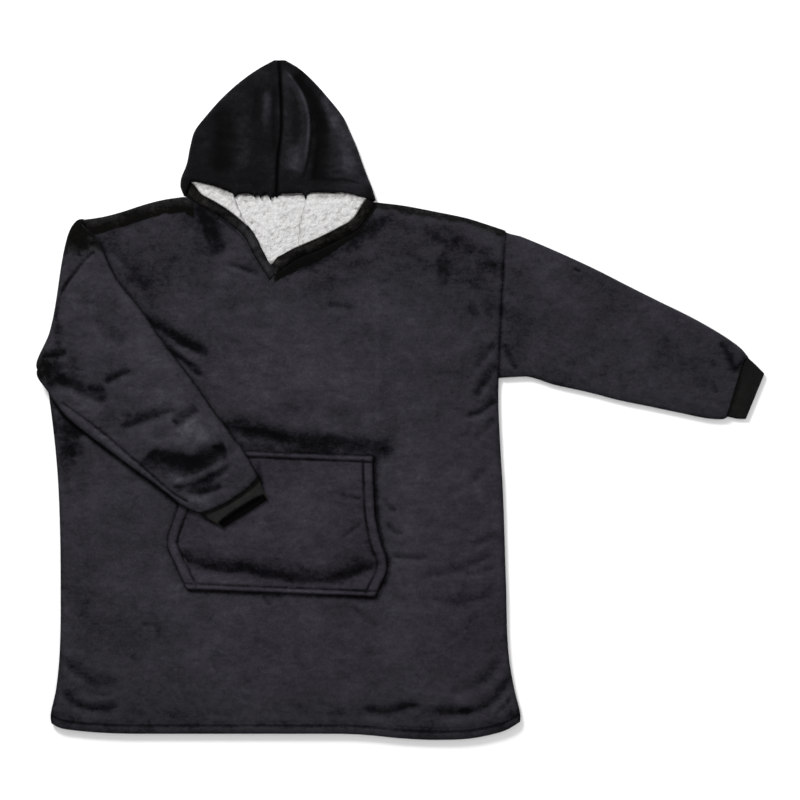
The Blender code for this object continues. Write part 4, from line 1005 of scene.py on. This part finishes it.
def makeLeftSleeve(settings):
    shares, shows = ringShares(settings["shown"], settings["hidden"])
    angles = graded(settings["turnRows"], 0, math.pi)[:, None]
    half = sleeveHeight / 2
    low, high = leftSleeve["lowY"][0], leftSleeve["highY"][0]
    stumpEdge = np.minimum(shares, 1 - shares) * (high - low)
    facing, hiding = (roundOff(stumpEdge, roll) for roll in settings["rolls"])
    stumpZ = half + half * np.where(shows, -facing, hiding)
    turned = turnedRing(mix(low, high, shares), stumpZ, angles, settings)
    t = graded(settings["rows"], 0, 1, 0.5, 0.4)[1:]
    section = readSections(leftSleeve, t)
    x, y, z, half, edge = flatRing(section, shares, shows, settings["rolls"])
    z = z + section["base"][:, None] + half
    blend = ease(t / 0.08)[:, None]
    x = mix(leftSideAt(y) - settings["turnGap"] * (1 - blend), x, blend)
    bow = np.sin(shares * math.pi) ** 0.5 * ease((t[:, None] - 0.93) / 0.07)
    x, y = x + cuffKnit["leftBow"][0] * bow, y + cuffKnit["leftBow"][1] * bow
    x, y, z = (np.vstack(pair) for pair in zip(turned, (x, y, z)))
    past = np.where(angles > math.pi / 2, 1 - np.sin(angles), 0)
    tuck = np.vstack([past, np.ones((len(t), 1))]) * ease((y - 606) / 49)  # the fold's lower corner hangs out
    tip = settings["tip"][0] * tuck + settings["tip"][1] * bell(y - settings["tipY"], 20)
    x = x - tip * bell(shares * (high - low), 24)
    edge = np.vstack([np.tile(stumpEdge, (len(angles), 1)), edge])
    rise, shade = creaseField(settings["creases"], settings["patches"], x, y)
    waves, waveShade = clothWaves(x, y, 140)
    folded = np.concatenate([np.zeros(len(angles)), ease(t / 0.12)])[:, None]
    upward = np.concatenate([ease((angles[:, 0] - 1.9) / 1.2), np.ones(len(t))])[:, None]
    fromCuff = (1 - np.concatenate([np.zeros(len(angles)), t]))[:, None] * settings["length"]
    crown = np.sin(np.clip(shares, 0, 1) * math.pi) ** 0.6
    lift = settings["fullness"] * crown * folded * ease(fromCuff / 30)
    lift = lift + upward * (rise + waves) * ease(edge / 12)
    pleats = np.sin(shares * 60 + 1.7 * softNoise(y, x, 12, 19)) * np.exp(-fromCuff / 18)
    lift = lift + settings["cuffGather"] * pleats * crown - 2.4 * bell(fromCuff, 4)
    z = z + np.where(shows, lift, 0)
    sinkX, sinkY = settings["sinkPlace"]  # where the fold sinks to the shoulder
    sink = np.exp(-((x - sinkX) / 34) ** 2 - ((y - sinkY) / 22) ** 2)
    z = z - 0.5 * sink * np.clip(z - frontLow - layer, 0, None)
    # Painted shade at the cuff, the edges, the turned part and the pleats; the corner's painted shade is
    # lighter right at its edge
    shade = shade * upward + waveShade - 0.5 * bell(fromCuff, 3) - 0.28 * ease((8 - edge) / 7)
    corner = creaseField([], settings["corner"], x, y)[1]
    shade += 1.5 * corner - 0.8 * bell(edge, 3) * corner
    shade -= 0.3 * (1 - upward) + 0.12 * pleats + 0.7 * bell(edge, 2.5) * np.clip(1 + 1.5 * corner, 0, 1)
    inner = leftSleeveInside(section, angles, settings)
    return makeWall("leftSleeve", toWorld(x, y, z), inner, fleece, shade, closed=True, hue=corner)


leftSleevePiece = makeLeftSleeve(leftSleeveCloth)
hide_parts("sleeve_left")


# Rib cuffs
def stadium(run, width, height, inset):  # a flattened loop: along its upper side, round, and back below
    half = height / 2
    radius = half - inset
    straight = width - height
    arc = math.pi * half
    turn = np.clip((run - straight) / half, 0, math.pi)
    turnBack = np.clip((run - 2 * straight - arc) / half, 0, math.pi)
    across = half + np.minimum(run, straight)
    across = across + radius * np.sin(turn) - np.clip(run - straight - arc, 0, straight)
    across = across - radius * np.sin(turnBack)
    up = half + radius * np.cos(turn)
    return across, np.where(run > 2 * straight + arc, half - radius * np.cos(turnBack), up)


def makeCuff(name, table, settings, openEnd, startBow, seed):
    columns = settings["ribs"] * settings["cellsPerRib"]
    coarse = columns // innerStep
    t = graded(settings["rows"], 0, 1, 0.7, 0.5)
    wobble = np.random.default_rng(seed).uniform(-0.3, 0.3, settings["ribs"])
    grids = []
    for count, levels, isInner in ((columns, t, False), (coarse, t[::innerStep], True)):
        turns = np.arange(count) / count
        phase = turns * settings["ribs"]
        rib = 0.5 - 0.5 * np.cos(phase * 2 * math.pi + np.interp(phase, np.arange(settings["ribs"]), wobble))
        section = readSections(table, levels)
        width, height = widthOf(section), section["height"][:, None]
        rim = 2 * (width - height) + math.pi * height
        endDip = 0.3 * (1 - np.sin(levels[:, None] * math.pi))
        inset = settings["wall"] if isInner else settings["ribHeight"] * (1 - rib) + endDip
        across, up = stadium(rim * turns, width, height, inset)
        top = np.clip((up - height / 2) / (height / 2), 0, 1)
        bow = np.sin(np.clip(across / width, 0, 1) * math.pi) ** 0.5
        along = levels[:, None] * (1 - openEnd * (0.55 + 0.45 * bow) * ease(top * 1.6))
        ends = {k: readCurve(range(3), column, along * 2) for k, column in table.items()}
        share = across / width
        x, y = mix(ends["lowX"], ends["highX"], share), mix(ends["lowY"], ends["highY"], share)
        x, y = x + startBow[0] * bow * (1 - along) ** 2, y + startBow[1] * bow * (1 - along) ** 2
        lift = openEnd * 9 * ease(levels[:, None] * 1.6 - 0.6) * top * bow
        z = ends["base"] + up + lift
        grids.append((toWorld(x, y, z), rib * np.ones_like(x), along, turns * np.ones_like(x)))
    outer, rib, along, turns = grids[0]
    # Painted shade between the ribs, a painted shadow band by the sleeve, a painted highlight beyond it, and
    # painted shade inside the open end
    band = ease((0.24 + 0.1 * turns - along) / 0.1)
    shade = 0.45 * rib - 0.42 - openEnd * (1.2 * band - 0.95 * (1 - band))
    flow = np.stack([turns * 0.2, along * 0.06], -1)
    return makeWall(name, outer, grids[1][0], ribKnit, shade, closed=True, across=flow, innerShade=-1.4)


rightCuffPiece = makeCuff("rightCuff", rightCuff, cuffKnit, 0.0, cuffKnit["rightBow"], 4)
leftCuffPiece = makeCuff("leftCuff", leftCuff, cuffKnit, cuffKnit["leftOpening"], cuffKnit["leftBow"], 5)
cuffRows = ((rightCuffPiece, "cuff_right", []), (leftCuffPiece, "cuff_left", ["kangarooPocket"]))
for piece, node, rests in cuffRows:
    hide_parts(node)

# Hood: each half is two layers joined along the outer fold, open at the seam between the halves
hoodSides = dict(
    y=[954, 970, 988, 1000, 1026, 1060, 1087, 1111, 1148, 1179, 1201, peakY],
    left=[-168, -172, -178, -177, -167, -160, -152, -134, -101, -66, -34, -10],
    right=[176, 172, 166, 161, 151, 139, 127, 116, 87, 59, 34, 12],
)
hoodFront = dict(x=[-178, -167, -157, -141, -124, -86, -43, 38, 92, 118, 143, 168, 176],
                 y=[970, 976, 995, 993, 989, 977, 973, 974, 975.5, 975, 969, 962, 961])
hoodSeam = dict(y=[954, 1026, 1100, 1152, peakY], x=[-4, -2, 5, 4, 0])
hoodCloth = dict(
    shown=88, hidden=24, rows=104, height=18.0, thinning=0.75, roll=20, fullness=4.0, seamDip=3.0,
    hemDepth=23, corner=dict(left=970.0, right=962.0),
    # x, length and width of each tuft at the hem
    fluff=[(-79, 11, 3.5), (-43, 8, 3), (-33, 9, 2.5), (-15, 12, 3), (-4, 10, 3), (48, 13, 3), (97, 2, 6)],
    creases=[
        Crease([(5, 1199), (27, 1179), (44, 1150), (54, 1117), (55.5, 1088), (52, 1051), (48, 1030),
                (38, 999)], 15, -6.5, 0.3, 0, 0.06, -0.78),
        Crease([(6, 1199), (26, 1178), (42.5, 1150), (52.5, 1117), (54, 1088), (50.5, 1051), (45, 1028)],
               3.2, -0.8, 0.5, 0, 0.12),
        Crease([(23, 1190), (54, 1150), (70, 1109), (75, 1067), (71, 1034), (66, 992)],
               12, 4.2, -0.85, 0, 0.06, 0.25),
        Crease([(17, 1172), (30, 1130), (32, 1088), (27, 1046)], 7, 1.6, -0.3, 0),
        Crease([(22, 1065), (27, 1035), (17, 1008)], 13, -2.0, 0.36, 0, 0.3),
        Crease([(-20, 1168), (-22, 1125), (-25, 1080)], 7, -2.2, 0.6, 0, 0.3),
        Crease([(-34, 1170), (-40, 1125), (-42, 1090)], 7, 1.6, -0.4, 0, 0.3),
        Crease([(-8, 1180), (-7, 1120), (-8, 1040)], 5, 1.5, -0.5, 0, 0.2),
        Crease([(-97, 1135), (-99, 1071), (-103, 1000)], 18, 3.0, -0.6),
        Crease([(-62, 1120), (-64, 1070), (-66, 1010)], 16, -1.6, 0.24),
        Crease([(74, 1150), (98, 1110), (116, 1060), (128, 1000)], 15, -2.6, 0.3, 0, 0.16, 0.4),
    ],
    patches=[
        Patch(88, 1122, 16, 40, 28, 0.3), Patch(124, 1040, 34, 84, 14, 0.42),
        Patch(64, 1160, 10, 36, 40, 0.4), Patch(152, 990, 12, 20, 0, 0.25),
        Patch(-150, 1040, 14, 40, -14, -0.1), Patch(-60, 1045, 24, 34, 0, 0.14),
        Patch(95, 985, 46, 12, 0, 0.1), Patch(-160, 985, 16, 18, 0, -0.3),
        Patch(-70, 1060, 80, 90, 0, -0.12), Patch(0, 1105, 20, 44, 0, 0.15),
    ],
)


def makeHoodHalf(name, column, settings):
    side = -1 if column == "left" else 1
    v = graded(settings["rows"], 0, 1, 0.35, 0.5)[:, None]
    grids = []
    for step, isInner in ((1, False), (innerStep, True)):
        levels = v[::step]
        shown, hidden = settings["shown"] // step, settings["hidden"] // step
        upper = 1 - (1 - np.arange(shown + 1) / shown) ** 1.2
        lower = (1 - np.arange(1, hidden + 1) / hidden) ** 0.8
        shares = np.concatenate([upper, lower])
        isUpper = np.arange(len(shares)) <= shown
        thinning = mix(1.0, settings["thinning"], levels**3)
        height = settings["height"] * thinning
        y = np.full((len(levels), len(shares)), settings["corner"][column])
        for _ in range(5):
            seam = readCurve(hoodSeam["y"], hoodSeam["x"], y)
            width = np.abs(readCurve(hoodSides["y"], hoodSides[column], y) - seam)
            reach = width - (np.minimum(layer, width / 2) if isInner else 0)
            w = shares * reach
            x = seam + side * np.maximum(w, 0.1)
            fromFold = reach - w
            turn = roundOff(fromFold, 9) / 2
            frontY = readCurve(hoodFront["x"], hoodFront["y"], x) + 0.7 * softNoise(x, x, 7, 77)
            for place, length, spread in settings["fluff"]:
                frontY = frontY - length * np.exp(-np.abs((x - place) / spread) ** 1.6)
            neckY = readCurve(backNeck["x"], backNeck["y"], x) + 0.5
            corner = settings["corner"][column]
            bottom = np.where(isUpper, mix(corner, frontY, 2 * turn), mix(corner, neckY, 2 * turn))
            y = mix(bottom, peakY, levels)
        if isInner:
            z = height / 2 + np.where(isUpper, 1.0, -1.0)
        else:
            roll = np.where(isUpper, roundOff(fromFold, settings["roll"]), -roundOff(fromFold, 10))
            z = height / 2 * (1 + roll)
        grids.append((x, y, z, w, fromFold, isUpper, y - bottom))
    x, y, z, w, fromFold, isUpper, fromHem = grids[0]
    rise, shade = creaseField(settings["creases"], settings["patches"], x, y)
    waves, waveShade = clothWaves(x, y, 180)
    fullness = settings["fullness"] * ease(fromFold / 60)
    lift = (fullness + (rise + waves) * ease(fromFold / 30)) * ease((1 - v) * 5) * ease(w / 10 + 0.5)
    seamLine = bell(w, 3.2)
    clear = 0.25 + 0.75 * ease((x - 30) / 40) * ease((160 - x) / 30)  # the groove is deepest at the right
    groove = bell(fromHem - settings["hemDepth"], 2.2) * clear
    lift = lift - settings["seamDip"] * seamLine - 1.3 * groove - 5.0 * (1 - roundOff(fromHem, 7))
    z = z + np.where(isUpper, lift, 0)
    # painted shade along the seam, in the hem groove and at the hem
    shade = shade + waveShade - 0.7 * seamLine - 0.45 * groove
    shade -= 0.1 * ease((settings["hemDepth"] - fromHem) / 4)
    shade += 0.45 * bell(fromFold, 3.5) * isUpper  # painted highlight along the fold
    innerX, innerY, innerZ = grids[1][:3]
    outer, inner = toWorld(x, y, z), toWorld(innerX, innerY, innerZ)
    if side < 0:
        outer, inner, shade = outer[:, ::-1], inner[:, ::-1], shade[:, ::-1]
    return makeWall(name, outer, inner, hoodFleece, shade)


for name, column in (("hoodLeft", "left"), ("hoodRight", "right")):
    half = makeHoodHalf(name, column, hoodCloth)
    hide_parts("hood_" + column)

# Neckbands: rolled edges of the V, the left one over the right
bandCloth = dict(
    rows=132, cells=24, width=19.0, leftHeight=11.0, rightHeight=12.5,
    leftTones=(-0.9, -0.25), rightTones=(-0.75, -1.0),
    leftStart=((-166, 968), (-157, 994)), leftEnd=((-17.5, 818.5), (-6.5, 829)),
    rightStart=((-4.4, 830.6), (-13.6, 846.5)), rightEnd=((174, 956), (156, 966)),
)


def bandEdges(line, side, settings):
    start, end = settings[side + "Start"], settings[side + "End"]
    xs = np.linspace(line["x"][0], line["x"][-1], settings["rows"] + 1)
    seam = np.stack([xs, readCurve(line["x"], line["y"], xs)], -1)
    outer, inner = seam + 0.2 * normalsOf(seam), seam + settings["width"] * normalsOf(seam)
    blend = ease(np.arange(len(xs)) / 26)[:, None]
    for edge, first, last in ((outer, start[0], end[0]), (inner, start[1], end[1])):
        edge += (np.array(first) - edge[0]) * (1 - blend) + (np.array(last) - edge[-1]) * (1 - blend[::-1])
    return outer, inner


def makeBand(name, side, edges, settings, seed):
    outerEdge, innerEdge = edges
    height = settings[side + "Height"]
    tone = mix(*settings[side + "Tones"], ease(np.linspace(0, 1, len(outerEdge))))[:, None]
    t = np.linspace(0, 1, settings["cells"] + 1)
    x = mix(outerEdge[:, :1], innerEdge[:, :1], t)
    y = mix(outerEdge[:, 1:], innerEdge[:, 1:], t)
    profile = 0.3 + 0.7 * (1 - np.abs(2 * t - 1) ** 2.4)
    puckers = 0.5 * softNoise(x, y, 9, seed) + 0.3 * softNoise(x, y, 5, seed + 1)
    ends = ease(np.minimum(np.arange(len(x)), np.arange(len(x))[::-1]) / 5)[:, None]
    z = frontLow + height * profile * mix(0.55, 1, ends) + puckers * np.sin(t * math.pi)
    # the band's tones are painted shade, darker at its outer edge and inner side, and tinted olive
    shade = 0.35 * softNoise(x, y, 22, seed + 2) + 0.3 * softNoise(x, y, 7, seed + 3) + tone
    shade = shade - (0.9 + tone) * bell(t, 0.1) - 0.2 * ease((t - 0.6) / 0.4)
    return makeWall(name, toWorld(x, y, z), toWorld(*coarsened(x, y), frontLow), fleece, shade, hue=tone)


leftBandEdges = bandEdges(leftNeckline, "left", bandCloth)
rightBandEdges = bandEdges(rightNeckline, "right", bandCloth)
leftBand = makeBand("leftNeckband", "left", leftBandEdges, bandCloth, 220)
rightBand = makeBand("rightNeckband", "right", rightBandEdges, bandCloth, 230)
for piece, node in ((leftBand, "neckband_left"), (rightBand, "neckband_right")):
    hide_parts(node)

# Pile lining in the neck: the back of the hood, and the hood's two turned-in sides over it
liningPile = dict(
    cell=1.25, wall=4.0, tuftSpacing=6.5, tuftHeight=3.2, underHood=9,
    back=dict(low=845.5, high=993, base=frontLow),
    left=dict(low=900, high=986, base=frontLow + 4.3, y=[893, 923, 968, 990], x=[-42, -61, -79, -84]),
    right=dict(low=876, high=968, base=frontLow + 4.3, y=[873, 918, 964], x=[32, 38, 47]),
)


def edgeAt(edge, y):  # where a neckband's inner edge lies at a height
    order = np.argsort(edge[:, 1])
    return np.interp(y, edge[order, 1], edge[order, 0])


def makeTufts(x, y, spacing, seed):  # heights of curled tufts of pile: rounded heads of uneven size, low between them
    draw = np.random.default_rng(seed)
    lowX, highX, lowY, highY = x.min(), x.max(), y.min(), y.max()
    gx, gy = np.meshgrid(np.arange(lowX, highX + spacing, spacing), np.arange(lowY, highY + spacing, spacing))
    heads = np.stack([gx.ravel(), gy.ravel()], -1) + draw.uniform(-0.48, 0.48, (gx.size, 2)) * spacing
    size = draw.uniform(0.75, 1.35, len(heads)) * spacing
    tall = draw.uniform(0.55, 1.0, len(heads))
    bendX = x + 1.6 * softNoise(x, y, 4.5, seed + 1)
    bendY = y + 1.6 * softNoise(x, y, 4.5, seed + 2)
    height = np.zeros(x.size)
    flatX, flatY = bendX.ravel(), bendY.ravel()
    batch = 4000  # points at a time, to save memory
    for start in range(0, x.size, batch):
        stop = start + batch
        away = np.hypot(flatX[start:stop, None] - heads[:, 0], flatY[start:stop, None] - heads[:, 1]) / size
        height[start:stop] = (tall * np.sqrt(np.clip(1 - away**2, 0, 1))).max(1)
    height = height.reshape(x.shape)
    strands = 0.16 * softNoise(x, y, 2.2, seed + 3) + 0.1 * softNoise(x, y, 1.3, seed + 4)
    return height + strands


def makeLining(name, spot, leftEdge, rightEdge, settings, seed):
    middle = (spot["low"] + spot["high"]) / 2
    width = float(rightEdge(middle + 20) - leftEdge(middle + 20)) * 1.25
    length = spot["high"] - spot["low"] + settings["underHood"]
    rows = int(length / settings["cell"] / innerStep) * innerStep
    columns = int(width / settings["cell"] / innerStep) * innerStep
    levels, shares = np.meshgrid(np.linspace(0, 1, rows + 1), np.linspace(0, 1, columns + 1), indexing="ij")
    level = mix(spot["low"], spot["high"] + settings["underHood"], levels)
    x = mix(leftEdge(level), rightEdge(level), shares)
    y = np.minimum(level, readCurve(hoodFront["x"], hoodFront["y"], x) + settings["underHood"] * levels)
    tufts = makeTufts(x, y, settings["tuftSpacing"], seed)
    border = np.minimum(np.minimum(shares, 1 - shares) * (rightEdge(level) - leftEdge(level)), levels * 60)
    under = readCurve(hoodFront["x"], hoodFront["y"], x) - y
    z = spot["base"] + settings["wall"] * roundOff(border, 4) * 0.8
    z = z + settings["tuftHeight"] * tufts * ease(border / 4 + 0.2)
    z = np.where(under < 6, mix(np.minimum(z, spot["base"] + 1.2), z, ease(under / 6)), z)
    # painted shade between the tufts, a painted shadow under the hood's front edge, and painted shade at the
    # border
    shade = 0.9 * (tufts - 0.62) - 0.75 * ease((13 - under) / 12) - 0.4 * bell(border, 4)
    return makeWall(name, toWorld(x, y, z), toWorld(*coarsened(x, y), spot["base"]), pile, shade)


def underLeftBand(y):
    return edgeAt(leftBandEdges[1], y) - 3


def underRightBand(y):
    return edgeAt(rightBandEdges[1], y) + 3


def leftFlapEdge(y):
    return readCurve(liningPile["left"]["y"], liningPile["left"]["x"], y) + 1.5 * softNoise(y, y, 9, 300)


def rightFlapEdge(y):
    return readCurve(liningPile["right"]["y"], liningPile["right"]["x"], y) + 1.5 * softNoise(y, y, 9, 301)


for name, spot, leftEdge, rightEdge, cut in (
    ("liningBack", "back", underLeftBand, underRightBand, (0.31, 0.12, 0.0165)),
    ("liningLeft", "left", underLeftBand, leftFlapEdge, (0.09, 0.07, 0.0024)),
    ("liningRight", "right", rightFlapEdge, underRightBand, (0.14, 0.08, 0.0068)),
):
    lining = makeLining(name, liningPile[spot], leftEdge, rightEdge, liningPile, 400 + len(name))
    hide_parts("lining_" + spot)

# Sewing: one small stitch, copied along the seams and joined
sewing = dict(pitch=5.2, length=3.4, thickness=0.75, sink=0.15, besideBand=4)


def makeStitch(settings):  # rings of a rounded bead, and its faces
    sides = 6
    angles = np.arange(sides) / sides * 2 * math.pi
    rings = []
    for along, size in ((-0.5, 0.35), (-0.28, 0.9), (0.28, 0.9), (0.5, 0.35)):
        radius = size * settings["thickness"] / 2
        place = np.full(sides, along * settings["length"])
        rings.append(np.stack([place, radius * np.cos(angles), radius * np.sin(angles)], -1))
    faces = [tuple(range(sides))[::-1], tuple(range(3 * sides, 4 * sides))]
    for low in range(0, 3 * sides, sides):
        for k in range(sides):
            following = (k + 1) % sides
            faces.append((low + k, low + following, low + sides + following, low + sides + k))
    return np.vstack(rings), faces


def sewSeams(name, seams, settings):
    bead, beadFaces = makeStitch(settings)
    points, faces = [], []
    for cloth, path in seams:
        path = np.array(path, float)
        run = np.concatenate([[0], np.cumsum(np.hypot(*np.diff(path, axis=0).T))])
        for at in np.arange(settings["pitch"] / 2, run[-1], settings["pitch"]):
            ends = []
            for place in (at - settings["length"] / 2, at + settings["length"] / 2):
                x, y = np.interp(place, run, path[:, 0]), np.interp(place, run, path[:, 1])
                above = Vector(((x + garmentX) * mm, (y + garmentY) * mm, 0.2))
                hit, spot = cloth.ray_cast(above, Vector((0, 0, -1)))[:2]
                if hit:
                    ends.append(spot)
            if len(ends) < 2:
                continue
            forward = (ends[1] - ends[0]).normalized()
            sideways = Vector((0, 0, 1)).cross(forward).normalized()
            up = forward.cross(sideways)
            center = (ends[0] + ends[1]) / 2 + up * (settings["thickness"] / 2 - settings["sink"]) * mm
            turn = np.array([forward, sideways, up])
            faces += [tuple(i + len(points) * len(bead) for i in face) for face in beadFaces]
            points.append(np.array(center) + bead * mm @ turn)
    mesh = bpy.data.meshes.new(name)
    mesh.from_pydata(np.vstack(points).tolist(), [], faces)
    mesh.shade_smooth()
    mesh.materials.append(thread)
    piece = bpy.data.objects.new(name, mesh)
    bpy.context.scene.collection.objects.link(piece)
    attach(piece, "root")
    print("made", name, len(points), "stitches")


hemX = np.linspace(-402, 424, 200)
hemSeam = np.stack([hemX, readCurve(hemLine["x"], hemLine["y"], hemX) + frontPanel["hemBand"]], -1)
hoodX = np.linspace(-128, 150, 80)
hoodHem = np.stack([hoodX, readCurve(hoodFront["x"], hoodFront["y"], hoodX) + hoodCloth["hemDepth"]], -1)
pocketX = np.linspace(-172, 170, 60)
pocketTop = np.stack([pocketX, pocketTopY - pocketPanel["topHem"] + pocketTilt * pocketX], -1)
footX = pocketX[5:-4]
pocketFoot = np.stack([footX, pocketFootY + pocketPanel["bottomHem"] + pocketTilt * footX], -1)


def insideLine(name, inward):  # the pocket's side, moved in by its hem
    line = smoothPath(pocketEdge(name))
    return (line - inward * pocketPanel["sideHem"] * normalsOf(line))[3:-2]


def bandSeam(edge):  # just outside a neckband
    return (edge - sewing["besideBand"] * normalsOf(edge))[12:-8]


bpy.context.view_layer.update()
sewSeams("sewing", [
    (bodyFront, hemSeam), (bodyFront, bandSeam(leftBandEdges[0])), (bodyFront, bandSeam(rightBandEdges[0])),
    (bpy.data.objects["hoodLeft"], hoodHem[:36]), (bpy.data.objects["hoodRight"], hoodHem[38:]),
    (kangarooPocket, pocketTop), (kangarooPocket, pocketFoot),
    (kangarooPocket, insideLine("left", 1)), (kangarooPocket, insideLine("right", -1)),
], sewing)

# Floor, light and camera
stageSettings = dict(
    view=1.44, lens=100.0, sensor=36.0, planeHeight=0.014,  # view is the width seen at planeHeight, in metres
    key=150.0, top=40.0, fill=8.0, world=0.5,
)

bpy.ops.mesh.primitive_plane_add(size=9, location=(0, 0, -0.0006))
floor = bpy.context.object
floor.name = "floor"
floorMaterial, floorTree, floorShader = newMaterial("paleFloor", Roughness=0.9)
floorPlace = addNode(floorTree, "ShaderNodeTexCoord", -700, 0)
floorTone = noiseIn(floorTree, floorPlace.outputs["Object"], -500, 0, 3.0, 2.0)
floorColor = rampIn(floorTree, floorTone, -300, 0, [(0.3, (0.93, 0.93, 0.93)), (0.7, (0.95, 0.95, 0.95))])
floorTree.links.new(floorColor, floorShader.inputs["Base Color"])
floor.data.materials.append(floorMaterial)

scene = bpy.context.scene
scene.view_settings.view_transform = "Standard"
world = bpy.data.worlds.new("studio")
world.use_nodes = True
world.node_tree.nodes["Background"].inputs["Color"].default_value = (1, 1, 1, 1)
world.node_tree.nodes["Background"].inputs["Strength"].default_value = stageSettings["world"]
scene.world = world


def addSoftbox(name, place, size, power):
    lamp = bpy.data.lights.new(name, "AREA")
    lamp.shape = "SQUARE"
    lamp.size = size
    lamp.energy = power
    box = bpy.data.objects.new(name, lamp)
    box.location = place
    box.rotation_euler = (-Vector(place)).to_track_quat("-Z", "Y").to_euler()
    box.visible_camera = False
    scene.collection.objects.link(box)


addSoftbox("keySoftbox", (-1.5, 2.6, 2.6), 1.0, stageSettings["key"])
addSoftbox("topSoftbox", (0.1, 0.2, 4.4), 2.6, stageSettings["top"])
addSoftbox("fillSoftbox", (1.8, -1.2, 2.2), 1.4, stageSettings["fill"])

cameraData = bpy.data.cameras.new("camera")
cameraData.lens = stageSettings["lens"]
cameraRise = stageSettings["view"] * stageSettings["lens"] / stageSettings["sensor"]
camera = bpy.data.objects.new("camera", cameraData)
camera.location = (0, 0, cameraRise + stageSettings["planeHeight"])
scene.collection.objects.link(camera)
scene.camera = camera
